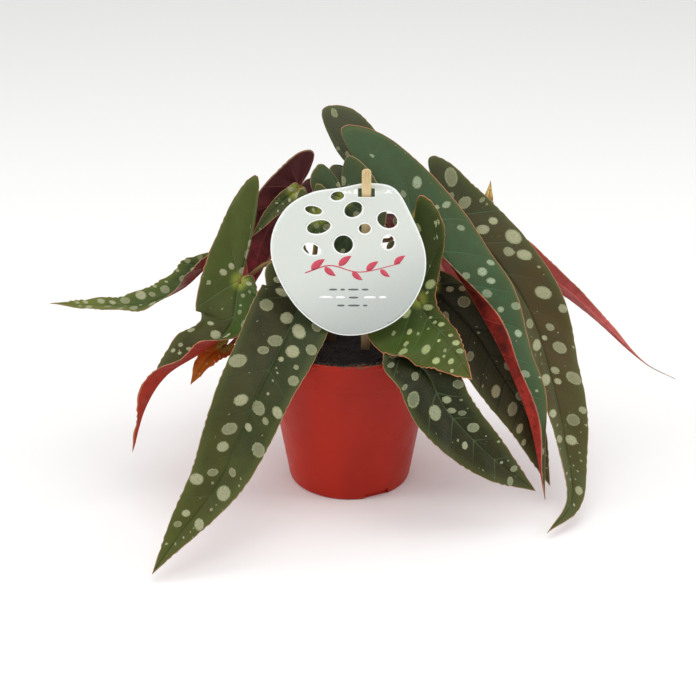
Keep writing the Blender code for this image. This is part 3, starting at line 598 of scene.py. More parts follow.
LEAVES = {
    "leaf_front_left": leaf(
        [(-4.2, -0.8, 17.3), (-3.2, -1.8, 15.2), (-4.5, -4.4, 12.6), (-6.2, -7.6, 10.1), (-8.5, -11.1, 5.7),
         (-11.1, -13.6, 2.9), (-12.9, -15.0, 0.7)],
        [(0, -9, 4), (1, -8, 6), (1, -8, 6), (1, -8, 6), (1, -7, 7), (1, -6, 8), (1, -6, 8)],
        ((2.8, 2.4, 3.1), (0.8, 1.1, 2.6)), fold=[8, 10, 20, 20, 14, 12, 10], fullness=0.85, wave=(0.25, 4),
        stalk=("cane_left", 12.6, (-2.6, -0.8, 14.5))),
    "leaf_left_folded": leaf(
        [(-5.4, 0.6, 22.0), (-7.6, -0.8, 15.5), (-8.2, -2.8, 13.0), (-10.2, -3.8, 11.5), (-12.6, -4.6, 10.1),
         (-14.1, -5.2, 7.9), (-15.2, -5.2, 4.4)],
        [(-1, -9, 4), (-2, -8, 5), (-4, -6, 7), (-6, 0, 8), (-8, 2, 6), (-9, 3, 3), (-9, 4, 1)],
        ((7.6, 2.3, 2.7), (0.6, 1.0, 1.9)), fold=[5, 8, 20, 35, 40, 40, 30], fullness=0.5, wave=(0.35, 4),
        stalk=("cane_left", 15.2, (-5.4, -0.1, 16.6))),
    "leaf_far_left": leaf(
        [(-9.0, 1.9, 16.0), (-10.1, 1.4, 15.7), (-11.9, 0.4, 14.4), (-14.4, -0.6, 13.7), (-17.6, -1.6, 14.0),
         (-20.6, -2.4, 14.5)],
        [(0, 0, 1), (0, 0, 1), (0, 0, 1), (0, -1, 9), (0, -1, 9), (0, -1, 9)],
        ((0.6, 1.0, 1.5), (1.0, 1.0, 1.5)), fold=[60, 60, 45, 16, 8, 8], fullness=0.75, wave=(0.10, 4),
        stalk=("cane_left", 16.4, (-6.6, 2.8, 17.0))),
    "leaf_left_maroon": leaf(
        [(-2.3, 3.2, 22.6), (-3.6, 2.6, 21.2), (-5.0, 2.0, 19.7), (-6.1, 1.2, 17.6), (-7.0, 0.4, 14.3)],
        [(-3, 8, 4), (-3, 8, 4), (-4, 8, 3), (-3, 9, 2), (-2, 9, 0)],
        ((1.2, 1.6, 1.8), (2.6, 2.0, 2.1)), fold=12, fullness=0.5, wave=(0.2, 3),
        stalk=("cane_left", 16.8, (-3.6, 1.4, 19.2))),
    "leaf_left_young": leaf(
        [(-3.2, 1.4, 22.0), (-3.7, 1.2, 21.4), (-5.2, 0.7, 20.2), (-6.8, 0.1, 18.4)],
        [(0, -8, 5), (0, -8, 5), (0, -8, 5), (0, -8, 5)],
        ((0.5, 0.5, 0.6), (0.5, 0.5, 0.6)), fold=10, fullness=0.6, wave=(0.08, 3),
        stalk=("cane_left", 14.4, (-4.2, -0.6, 17.6))),
    "leaf_left_small": leaf(
        [(-7.3, -1.5, 11.9), (-8.7, -2.4, 11.3), (-9.9, -3.1, 10.7), (-11.1, -3.5, 8.8)],
        [(0, -7, 7), (0, -7, 7), (-2, -7, 6), (-3, -8, 3)],
        ((0.6, 0.7, 0.9), (0.6, 0.7, 0.9)), fold=10, fullness=0.4, wave=(0.1, 3),
        stalk=("cane_left", 12.0, (-5.6, -0.8, 12.9))),
    "leaf_behind_card_left": leaf(
        [(-2.9, 0.0, 22.5), (-2.2, -0.6, 20.2), (-1.6, -1.4, 17.8)],
        [(0, -9, 4), (0, -9, 4), (0, -9, 4)],
        ((2.2, 1.1, 1.2), (2.2, 1.2, 1.2)), fold=8, fullness=0.4, wave=(0.1, 3),
        stalk=("cane_left", 15.8, (-2.4, -0.9, 17.6))),
    "leaf_behind_card": leaf(
        [(-1.2, 1.2, 24.2), (-0.4, 0.6, 21.0), (-0.1, -0.2, 17.7), (0.0, -0.9, 14.4)],
        [(0, -9, 4), (0, -9, 4), (0, -9, 3), (0, -9, 3)],
        ((2.9, 2.0, 1.7), (2.9, 2.0, 2.8)), fold=8, fullness=0.6, wave=(0.15, 3),
        stalk=("cane_back", 17.2, (0.0, 2.4, 19.2))),
    "leaf_top_back": leaf(
        [(-2.0, 6.2, 23.6), (0.6, 5.4, 21.2), (5.4, 4.0, 18.2), (8.4, 3.4, 15.2)],
        [(-1, -6, 7), (-1, -6, 7), (1, -6, 7), (2, -6, 6)],
        ((1.8, 1.8, 1.3), (5.2, 3.2, 2.9)), fold=10, fullness=0.4, wave=(0.2, 3),
        stalk=("cane_back", 18.0, (0.4, 5.2, 19.6))),
    "leaf_right_teal": leaf(
        [(-0.4, 3.2, 22.9), (4.3, 0.8, 19.3), (6.9, -0.6, 16.8), (9.4, -2.4, 13.2), (11.2, -3.9, 9.9),
         (12.6, -5.2, 6.4), (13.8, -5.8, 0.9)],
        [(1, -8, 6), (2, -7, 7), (5, -3, 8), (6, 0, 8), (7, 1, 6), (8, 1, 5), (9, 0, 3)],
        ((1.0, 1.2, 1.6), (8.4, 3.3, 3.2)), fold=[8, 14, 40, 55, 60, 60, 55], fullness=0.6, wave=(0.2, 4),
        stalk=("cane_right", 17.1, (3.9, 1.5, 18.1))),
    "leaf_front_right": leaf(
        [(3.5, -1.9, 21.7), (4.7, -2.1, 14.7), (6.6, -5.2, 13.0), (8.1, -8.2, 11.5)],
        [(0, -9, 3), (-1, -8, 6), (-2, -4, 9), (-2, -4, 9)],
        ((2.0, 3.0, 4.2), (7.6, 2.6, 1.1)), fold=5, fullness=0.7, wave=(0.2, 3),
        stalk=("cane_right", 12.2, (3.6, -0.8, 12.8))),
    "leaf_right_outer": leaf(
        [(5.7, 3.4, 21.1), (7.2, 2.6, 19.1), (10.4, 1.6, 16.0), (12.8, 0.2, 12.5), (14.2, -2.4, 8.6),
         (15.0, -5.0, 5.2), (15.4, -7.3, 1.8), (13.5, -9.6, 0.5)],
        [(3, -7, 6), (3, -7, 6), (3, -7, 6), (3, -7, 6), (3, -7, 5), (3, -7, 5), (3, -7, 6), (0, -4, 9)],
        ((0.8, 1.2, 1.4), (4.4, 2.2, 2.9)), fold=12, fullness=0.8, wave=(0.25, 4),
        stalk=("cane_right", 15.4, (5.0, 2.2, 16.6))),
    "leaf_far_right": leaf(
        [(10.2, 5.2, 17.2), (11.3, 5.0, 16.3), (13.9, 4.6, 14.1), (16.5, 4.0, 12.2), (19.1, 3.4, 9.9),
         (21.8, 3.0, 7.4), (24.2, 2.6, 6.2)],
        [(2, 9, 3), (2, 9, 3), (2, 9, 3), (2, 9, 3), (2, 9, 3), (2, 9, 3), (2, 9, 3)],
        ((1.0, 1.0, 1.1), (1.0, 1.0, 1.2)), fold=30, fullness=-0.6, wave=(0.1, 3),
        stalk=("cane_right", 15.0, (7.2, 4.2, 15.9))),
    "leaf_right_young": leaf(
        [(9.3, 4.6, 16.5), (9.4, 4.4, 17.2), (9.8, 4.4, 18.8), (10.0, 4.2, 21.1)],
        [(0, -9, 3), (0, -9, 3), (0, -9, 3), (0, -9, 3)],
        ((0.6, 0.6, 0.7), (0.6, 0.6, 0.8)), fold=15, fullness=0.2, wave=(0.05, 3),
        stalk=("cane_right", 16.2, (6.4, 4.2, 16.6))),
    "leaf_front_right_low": leaf(
        [(2.8, -3.9, 12.1), (3.5, -4.7, 11.9), (5.2, -6.7, 11.2), (6.5, -8.0, 9.1), (9.5, -8.5, 5.9),
         (12.8, -7.9, 2.8)],
        [(3, -6, 6), (3, -6, 6), (2, -8, 5), (1, -9, 4), (1, -9, 4), (1, -9, 3)],
        ((0.8, 1.2, 2.5), (0.6, 0.8, 2.0)), fold=[10, 12, 20, 14, 10, 8], fullness=0.9, wave=(0.2, 4),
        stalk=("cane_right", 11.2, (2.8, -2.2, 11.9))),
    "leaf_right_brown": leaf(
        [(5.0, 1.0, 15.2), (5.7, 0.6, 14.5), (8.7, -1.2, 11.8), (10.5, -2.6, 9.3), (12.5, -4.0, 6.3),
         (14.2, -5.0, 1.5)],
        [(1, -8, 6), (1, -8, 6), (1, -8, 6), (1, -8, 6), (1, -8, 5), (1, -8, 4)],
        ((0.8, 1.4, 2.6), (1.0, 1.2, 1.8)), fold=10, fullness=0.9, wave=(0.2, 4),
        stalk=("cane_right", 13.3, (4.1, 1.3, 14.3))),
    "leaf_back_left": leaf(
        [(-1.6, 5.2, 18.6), (-2.8, 5.8, 17.6), (-5.2, 8.0, 15.8), (-7.6, 10.4, 12.0), (-9.2, 12.2, 7.8)],
        [(-3, 6, 8), (-3, 6, 8), (-4, 7, 6), (-4, 7, 5), (-4, 8, 4)],
        ((1.2, 1.6, 2.6), (2.0, 2.0, 3.2)), fold=12, fullness=0.5, wave=(0.25, 4),
        stalk=("cane_back", 14.8, (-1.6, 5.1, 16.2))),
    "leaf_back_right": leaf(
        [(2.2, 6.2, 17.2), (3.2, 7.0, 16.4), (5.6, 9.2, 14.6), (7.6, 11.4, 11.0), (8.6, 13.2, 6.8)],
        [(3, 6, 8), (3, 6, 8), (4, 7, 6), (4, 7, 5), (4, 8, 4)],
        ((2.8, 2.6, 3.2), (1.4, 1.8, 2.8)), fold=12, fullness=0.5, wave=(0.25, 4),
        stalk=("cane_back", 15.4, (1.9, 5.8, 15.8))),
    "leaf_back_low": leaf(
        [(-0.2, 5.6, 13.8), (-0.4, 6.6, 13.2), (-0.9, 9.2, 11.4), (-1.4, 11.6, 7.8), (-1.6, 13.0, 3.2)],
        [(0, 6, 8), (0, 6, 8), (0, 7, 6), (0, 8, 5), (0, 9, 3)],
        ((1.4, 1.8, 2.8), (2.4, 2.4, 3.2)), fold=12, fullness=0.6, wave=(0.25, 4),
        stalk=("cane_back", 12.4, (-0.2, 5.0, 12.8))),
}


# %% [markdown]
# A blade is drawn flat first. A half's edge runs from the notch at the stalk round its lobe and on to the
# tip. Side veins leave the midrib at a fixed angle, or fan out from the stalk in the lobe, and the columns of
# the blade's grid follow them. So quilting and veins need no drawing of their own: they come with the grid.

# %% The outline of half a blade
VEIN_ANGLE = math.radians(50)
LEAF_COLUMNS = 204
LOBE_COLUMNS = 68
HALF_ROWS = 20
ROW_CROWDING = 1.35
LOBE_VEINS = 3


def half_outline(lobe, lobe_width, width, length, fullness):
    """Points (along, across) of one half's edge, from the notch at the stalk round the lobe to the tip."""
    f = fullness
    along = [0, -0.55 * lobe, -0.97 * lobe, -0.62 * lobe, 0.10 * length, 0.36 * length,
             0.60 * length, 0.80 * length, 0.93 * length, length]
    across = [0, 0.10 * lobe_width, 0.50 * lobe_width, lobe_width, width, (0.82 + 0.12 * f) * width,
              (0.50 + 0.28 * f) * width, (0.22 + 0.25 * f) * width, (0.07 + 0.10 * f) * width, 0]
    path = smooth_path(list(zip(along, across)), 24)
    path[:, 1] = np.maximum(path[:, 1], 0)
    return path


def half_columns(sizes, length, fullness):
    """For each column of a half blade: where its vein starts on the midrib, then its edge point."""
    path = half_outline(*sizes, length, fullness)
    root = path[:, 0] - path[:, 1] / math.tan(VEIN_ANGLE)
    first = max(i for i in range(len(root)) if root[i] <= 0)
    gone = walk(path[:first + 1])
    share = np.linspace(0, gone[-1], LOBE_COLUMNS + 1)
    on_midrib = length * np.arange(1, LEAF_COLUMNS - LOBE_COLUMNS + 1) / (LEAF_COLUMNS - LOBE_COLUMNS)
    rise = np.maximum.accumulate(root[first:])
    columns = [np.concatenate([np.zeros(LOBE_COLUMNS + 1), on_midrib])]
    for k in (0, 1):
        lobe = np.interp(share, gone, path[:first + 1, k])
        columns.append(np.concatenate([lobe, np.interp(on_midrib, rise, path[first:, k])]))
    return np.array(columns).T


# %% The bent midrib
SPAN_STEPS = 32
CREASE = 1.5 * MM


class Midrib:
    """A bent midrib, and the way from (along, across, lift) on a flat blade to a place on the plant."""

    def __init__(self, line, faces, fold):
        self.path = smooth_path(line, SPAN_STEPS)
        face = smooth_path(faces, SPAN_STEPS)
        folds = fold if isinstance(fold, list) else [fold] * len(line)
        spread = np.linspace(0, len(folds) - 1, len(self.path))
        self.fold = np.radians(np.interp(spread, range(len(folds)), folds))
        gone = walk(self.path)
        self.along = gone - gone[SPAN_STEPS]
        self.length = self.along[-1]
        self.tangent = np.gradient(self.path, self.along, axis=0)
        self.tangent /= np.linalg.norm(self.tangent, axis=1)[:, None]
        self.normal = face - (face * self.tangent).sum(axis=1)[:, None] * self.tangent
        self.normal /= np.linalg.norm(self.normal, axis=1)[:, None]
        self.side = np.cross(self.tangent, self.normal)

    def rows(self, values, near):
        return np.array([np.interp(near, self.along, values[:, k]) for k in range(3)]).T

    def places(self, along, across, lift):
        near = np.clip(along, self.along[0], self.along[-1])
        fold = np.interp(near, self.along, self.fold)
        soft = np.sqrt(across ** 2 + CREASE ** 2) - CREASE
        lift = lift + soft * np.sin(fold)
        across = across * np.cos(fold)
        tangent = self.rows(self.tangent, near)
        return (self.rows(self.path, near) + tangent * (along - near)[:, None]
                + self.rows(self.side, near) * across[:, None] + self.rows(self.normal, near) * lift[:, None])


def midrib_of(name):
    spec = LEAVES[name]
    return Midrib(to_m(spec["line"]), spec["faces"], spec["fold"])


# %% [markdown]
# ## Spots
#
# The silver spots are pockets of air under the leaf's skin. They lie between the side veins, long in the
# veins' direction, big in the middle of a half and small by its edge, with a dust of specks near the tip.
# The shader could scatter them, but then no spot would sit where it is wanted. So each spot is placed by a
# seeded draw. The mesh stores how far each point is from the nearest spot's edge, and the shader cuts that
# smooth field at one value. The edge stays sharp however close the camera comes, on a mesh of any density.

# %% Scatter spots over a flat blade
SPOT_FAR = 3.0


class FlatBlade:
    """Both halves of a flat blade. A place on a half is a column and a share of the way to its edge."""

    def __init__(self, name):
        spec = LEAVES[name]
        self.length = midrib_of(name).length
        self.halves = [half_columns([size * CM for size in sizes], self.length, spec["fullness"])
                       for sizes in spec["halves"]]

    def at(self, half, column, share):
        """(along, across) with across above 0, the vein's direction there, and the vein's whole length."""
        root, edge_x, edge_y = (np.interp(column, range(LEAF_COLUMNS + 1), self.halves[half][:, k])
                                for k in range(3))
        way = np.array((edge_x - root, edge_y))
        reach = math.hypot(*way)
        return np.array((root, 0)) + way * share, way / max(reach, 1e-6), reach


def vein_number(column, veins):
    """The side vein that a column lies on, counted from the notch. Whole numbers are veins."""
    lobe = column / LOBE_COLUMNS * LOBE_VEINS
    blade = LOBE_VEINS + (column - LOBE_COLUMNS) / (LEAF_COLUMNS - LOBE_COLUMNS) * veins
    return np.where(column < LOBE_COLUMNS, lobe, blade)


def scatter_spots(name, blade, veins, sizes, count):
    """Spots as (half, place, long radius, short radius, direction, tone), the largest first."""
    draw = random.Random(name)
    spots = []
    wanted = sorted((draw.uniform(*draw.choice(sizes)) for _ in range(count)), reverse=True)
    for size in wanted:
        radius = size * MM / 2
        for _ in range(60):
            half = draw.randint(0, 1)
            column = draw.uniform(4, LEAF_COLUMNS - 6)
            share = draw.uniform(0.14, 0.95)
            at, way, reach = blade.at(half, column, share)
            between = abs(float(vein_number(column, veins)) % 1 - 0.5)
            if reach < 3.2 * radius or min(share, 1 - share) * reach < 1.15 * radius + 0.4 * MM:
                continue
            if between > 0.34 and radius > 1.2 * MM:
                continue
            room = [np.linalg.norm(at - other[1]) - other[2] for other in spots if other[0] == half]
            if room and min(room) < 1.25 * radius + 1.1 * MM:
                continue
            stretch = draw.uniform(1.1, 1.6)
            spots.append((half, at, radius * stretch ** 0.5, radius / stretch ** 0.5, way,
                          draw.uniform(0.72, 1.0)))
            break
    return spots


# %% [markdown]
# ## One blade
#
# The grid has a column for each step round the outline and rows from the midrib to the edge, crowded towards
# the midrib, where the crease needs them. Its points get their flat place, then a lift for each of the
# surface's habits: long ripples, quilting between the veins, a groove over the midrib, teeth and a crimp at
# the edge. Then the midrib bends the whole sheet, and Solidify gives it a skin of its own colour below.

# %% Build a blade
BLADE_THICKNESS = 0.5 * MM
GROOVE_DEPTH = 0.9 * MM
GROOVE_WIDTH = 1.3 * MM
MIDRIB_WIDTH = 1.1 * MM
SIDE_VEIN_WIDTH = 0.42 * MM
SHADER_FIELDS = ("vein", "margin", "reach", "spot", "tone", "side", "knot")


def flat_grid(blade, look):
    """For both halves, arrays over (column, row): along, across, and the fields that the shader reads."""
    share = (np.arange(HALF_ROWS + 1) / HALF_ROWS) ** ROW_CROWDING
    column = np.arange(LEAF_COLUMNS + 1.0)[:, None]
    number = vein_number(column, look["veins"])
    grids = []
    for half, columns in enumerate(blade.halves):
        root, edge = columns[:, :1], columns[:, 1:]
        way = edge - np.hstack([root, np.zeros_like(root)])
        reach = np.linalg.norm(way, axis=1)[:, None]
        gone = walk(edge)[:, None]
        depth, pitch = look["teeth"]
        fade_out = np.clip(reach / (6 * MM), 0, 1) * np.clip(gone / (12 * MM), 0, 1)
        saw = (np.abs(2 * ((gone / (pitch * MM) + 0.6 * np.sin(gone * 210 + half)) % 1) - 1) - 0.5)
        out = 1 + saw * depth * MM * fade_out / np.maximum(reach, 4 * MM) * share ** 9
        along = root + way[:, :1] * share * out
        across = way[:, 1:] * share * out
        step = np.hypot(np.gradient(along, axis=0), np.gradient(across, axis=0))
        slant = np.abs(np.sin(np.arctan2(np.gradient(across, axis=0), np.gradient(along, axis=0))
                              - np.arctan2(way[:, 1:], way[:, :1])))
        per_vein = step * slant / np.maximum(np.gradient(number, axis=0), 1e-6)
        side_vein = np.abs(number - np.rint(number)) * per_vein
        taper = np.clip(1 - 0.8 * np.clip(along / blade.length, 0, 1), 0.2, 1)
        vein = np.minimum(across / (MIDRIB_WIDTH * taper),
                          side_vein / (SIDE_VEIN_WIDTH * (1.25 - 0.75 * share)))
        ripple_height, ripple_count = look["wave"]
        turn = math.tau * ripple_count * column / LEAF_COLUMNS + (0 if half == 0 else 1.7)
        ripple = ripple_height * CM * share ** 2 * np.sin(turn) * np.sin(math.pi * column / LEAF_COLUMNS)
        pillow = look["quilt"] * MM * (0.5 - 0.5 * np.cos(math.tau * number)) * 4 * share * (1 - share)
        beat = gone / (look["teeth"][1] * MM) * 1.9 + half
        crimp = look["crimp"] * MM * share ** 7 * np.sin(beat) * fade_out
        groove = -GROOVE_DEPTH * taper * np.exp(-(across / (GROOVE_WIDTH * taper)) ** 2)
        pillow = pillow * np.clip(reach / (20 * MM), 0, 1)
        grids.append(dict(along=along, across=across, lift=ripple + pillow + crimp + groove, vein=vein,
                          margin=(1 - share) * reach / MM * 0.8, reach=along / blade.length))
    return grids


def spot_fields(spots, half, along, across):
    """How far each point is from the nearest spot, 1 being its edge, and that spot's tone."""
    field = np.full(along.shape, SPOT_FAR)
    tone = np.ones(along.shape)
    for spot_half, at, long, short, way, brightness in spots:
        if spot_half != half:
            continue
        x, y = along - at[0], across - at[1]
        far = np.hypot((x * way[0] + y * way[1]) / long, (y * way[0] - x * way[1]) / short)
        tone = np.where(far < field, brightness, tone)
        field = np.minimum(field, far)
    return field, tone


def blade_mesh(name, look):
    spec = LEAVES[name]
    blade = FlatBlade(name)
    midrib = midrib_of(name)
    look = {**look, "wave": spec["wave"]}
    spots = scatter_spots(name, blade, look["veins"], look["spots"], look["count"])
    grids = flat_grid(blade, look)
    for half, grid in enumerate(grids):
        grid["spot"], grid["tone"] = spot_fields(spots, half, grid["along"], grid["across"])
    bm = bmesh.new()
    uv = bm.loops.layers.uv.new("blade")
    layers = {key: bm.verts.layers.float.new(key) for key in SHADER_FIELDS}
    bmesh.ops.create_grid(bm, x_segments=LEAF_COLUMNS, y_segments=2 * HALF_ROWS, size=1)
    bmesh.ops.reverse_faces(bm, faces=bm.faces)
    verts = list(bm.verts)
    places = [(round((v.co.x + 1) / 2 * LEAF_COLUMNS), round(v.co.y * HALF_ROWS)) for v in verts]
    picked = {key: np.array([grids[0 if row > 0 else 1][key][column, abs(row)] for column, row in places])
              for key in grids[0]}
    sign = np.array([1.0 if row > 0 else -1.0 for _, row in places])
    across = picked.pop("across") * sign
    along, lift = picked.pop("along"), picked.pop("lift")
    flat = {v: (x, y) for v, x, y in zip(verts, along, across)}
    for face in bm.faces:
        for loop in face.loops:
            loop[uv].uv = flat[loop.vert]
    picked["side"] = across / CM
    picked["knot"] = np.hypot(along, across) / MM
    for i, (v, place) in enumerate(zip(verts, midrib.places(along, across, lift))):
        v.co = place
        for key, layer in layers.items():
            v[layer] = picked[key][i]
    bmesh.ops.remove_doubles(bm, verts=bm.verts, dist=2e-5)
    print(name, "spots:", len(spots), "length cm:", round(blade.length / CM, 1))
    return mesh_of(name, bm)


# %% [markdown]
# ## Leaf skins
#
# A leaf takes three finishes. The upper skin runs through the leaf's greens and browns from stalk to tip,
# with paler veins, cream spots that are mottled inside, a dust of specks and a thin pinkish line at the edge.
# The underside is crimson, with raised veins and a shadow of the spots. The cut edge is the margin's own
# colour.
# On a few leaves these colours hold painted shade.

# %% The upper skin
SPOT_SHADE = shade(124, 123, 92)
SPOT_RIM = shade(138, 143, 106)
KNOT_GREEN = shade(142, 150, 62)
LEAF_SHEEN = 0.2


def leaf_top(name, look):
    middle = look["plus"][1]
    r = Recipe(name + "_top", middle, 0.45, IOR=1.42, Specular_IOR_Level=LEAF_SHEEN)
    flat = r.flat("blade")
    side = r.field("side")
    vein = r.field("vein")
    margin = r.field("margin")
    drift = r.fade(r.noise(42, flat, detail=4), 0.3, 0.7, -0.13, 0.13)
    reach = r.maths("ADD", r.field("reach"), drift)
    stops = (0.0, 0.42, 0.93)
    plus, minus = (r.ramp(reach, list(zip(stops, look[key]))) for key in ("plus", "minus"))
    base = r.mix(r.fade(side, -0.25, 0.25), minus, plus)
    cloud = r.fade(r.noise(110, flat, detail=5, rough=0.6), 0.3, 0.75, 0, 0.5)
    base = r.mix(cloud, base, r.mix(0.55, base, look["brown"]))
    base = r.mix(r.fade(margin, 0, 7, 0.45, 0), base, look["edge"])
    base = r.mix(r.fade(r.noise(1500, flat, detail=2), 0.35, 0.7, 0, 0.22), base, look["pale"])
    base = r.mix(r.fade(vein, 0.5, 1.15, 0.55, 0), base, look["vein"])
    base = r.mix(r.fade(r.field("knot"), 2.5, 9, 0.8, 0), base, KNOT_GREEN)
    rough_edge = r.fade(r.noise(1300, flat, detail=3), 0.2, 0.8, -0.14, 0.14)
    spot = r.maths("ADD", r.field("spot"), rough_edge)
    inside = r.mix(r.fade(r.noise(900, flat, detail=4, rough=0.65), 0.45, 0.72), look["cream"], SPOT_SHADE)
    inside = r.mix(r.fade(r.field("tone"), 0.7, 1.0, 0.55, 0), inside, base)
    inside = r.mix(r.fade(spot, 0.70, 0.95), inside, SPOT_RIM)
    base = r.mix(r.fade(spot, 0.93, 1.05, 1, 0), base, inside)
    cell = r.node("TexVoronoi", {"Vector": flat, "Scale": 230.0})
    pick = r.node("SeparateXYZ", {"Vector": cell.outputs["Color"]})
    speck = r.maths("SUBTRACT", cell.outputs["Distance"], r.fade(pick.outputs["Y"], 0, 1, 0.0, 0.09))
    speck = r.maths("MULTIPLY", r.fade(speck, 0.02, 0.06, 1, 0), r.fade(pick.outputs["X"], 0.72, 0.76))
    base = r.mix(r.maths("MULTIPLY", speck, r.fade(reach, 0.0, 0.6, look["specks"] * 0.5, look["specks"])),
                 base, look["cream"])
    r.colour(r.mix(r.fade(margin, 0.18, 0.50, 0.85, 0), base, look["margin"]))
    r.rough(r.noise(260, flat, detail=4), look["gloss"] + 0.06, look["gloss"] + 0.2)
    r.bump(r.fade(vein, 0.2, 2.4), 0.00022)
    r.bump(r.cells(1500, flat), 0.00007, 0.6)
    r.bump(r.noise(420, flat, detail=3), 0.00012, 0.7)
    return r.material


# %% The underside and the margin
def leaf_under(name, look):
    near, far = look["under"]
    r = Recipe(name + "_under", near, 0.5, IOR=1.42, Specular_IOR_Level=LEAF_SHEEN)
    flat = r.flat("blade")
    vein = r.field("vein")
    drift = r.fade(r.noise(60, flat, detail=4), 0.3, 0.7, -0.2, 0.2)
    base = r.mix(r.fade(r.maths("ADD", r.field("reach"), drift), 0.1, 0.95), near, far)
    dark = tuple(c * 0.62 for c in near)
    base = r.mix(r.fade(r.noise(190, flat, detail=5, rough=0.65), 0.42, 0.75, 0, 0.6), base, dark)
    base = r.mix(r.fade(r.field("spot"), 0.7, 1.15, 0.28, 0), base, look["under_spot"])
    base = r.mix(r.fade(vein, 0.6, 1.4, 0.5, 0), base, look["under_vein"])
    r.colour(r.mix(r.fade(r.field("margin"), 0.35, 1.0, 0.7, 0), base, look["margin"]))
    r.rough(r.noise(300, flat, detail=4), 0.38, 0.54)
    r.bump(r.fade(vein, 0.2, 2.2, 1, 0), 0.0004)
    r.bump(r.cells(1200, flat), 0.00010, 0.7)
    return r.material


def leaf_rim(name, look):
    r = Recipe(name + "_rim", look["margin"], 0.5, IOR=1.42)
    shift = r.noise(160, detail=3)
    r.colour(r.mix(r.fade(shift, 0.35, 0.65), look["margin"], look["edge"]))
    r.rough(shift, 0.42, 0.6)
    r.bump(r.noise(1100, detail=2), 0.00006)
    return r.material


# %% [markdown]
# ## Every leaf's look
#
# Young leaves are bright green and toothed, old ones brown or teal and smooth. The leaves deep in the plant,
# in shade, have near-black colours and dull spots: painted shade. Each look starts from a common one and
# changes what differs: three colours from stalk to tip for the plus half and for the minus half, the spots'
# sizes in millimetres, and the edge's teeth.

# %% Common look
def look_of(plus, minus=None, **changes):
    """A leaf's look. plus and minus are three (red, green, blue) colours each, from the stalk to the tip."""
    common = dict(
        brown=(66, 48, 20), edge=(84, 90, 44), pale=(92, 104, 72), vein=(84, 102, 66),
        margin=(170, 132, 98), cream=(164, 163, 130), under=((120, 34, 28), (150, 46, 34)),
        under_spot=(150, 74, 62), under_vein=(168, 66, 54), veins=6, teeth=(0.5, 9), quilt=0.7, crimp=0.15,
        spots=[(6, 9), (3, 5), (1, 2)], count=46, specks=0.7, gloss=0.34)
    made = {**common, **changes, "plus": plus, "minus": minus or plus}
    colours = {key: shade(*made[key]) for key in ("brown", "edge", "pale", "vein", "margin", "cream",
                                                  "under_spot", "under_vein")}
    stops = {key: [shade(*c) for c in made[key]] for key in ("plus", "minus", "under")}
    return {**made, **colours, **stops}


OLD_SPOTS = [(7, 11), (4, 7), (1.2, 2.5), (0.8, 1.6)]
TEAL_SPOTS = [(5, 8), (4, 6), (1, 2.5)]
FRESH_SPOTS = [(4, 8), (3, 5), (2, 3)]
YOUNG_SPOTS = [(3, 6), (2, 4), (1, 2)]

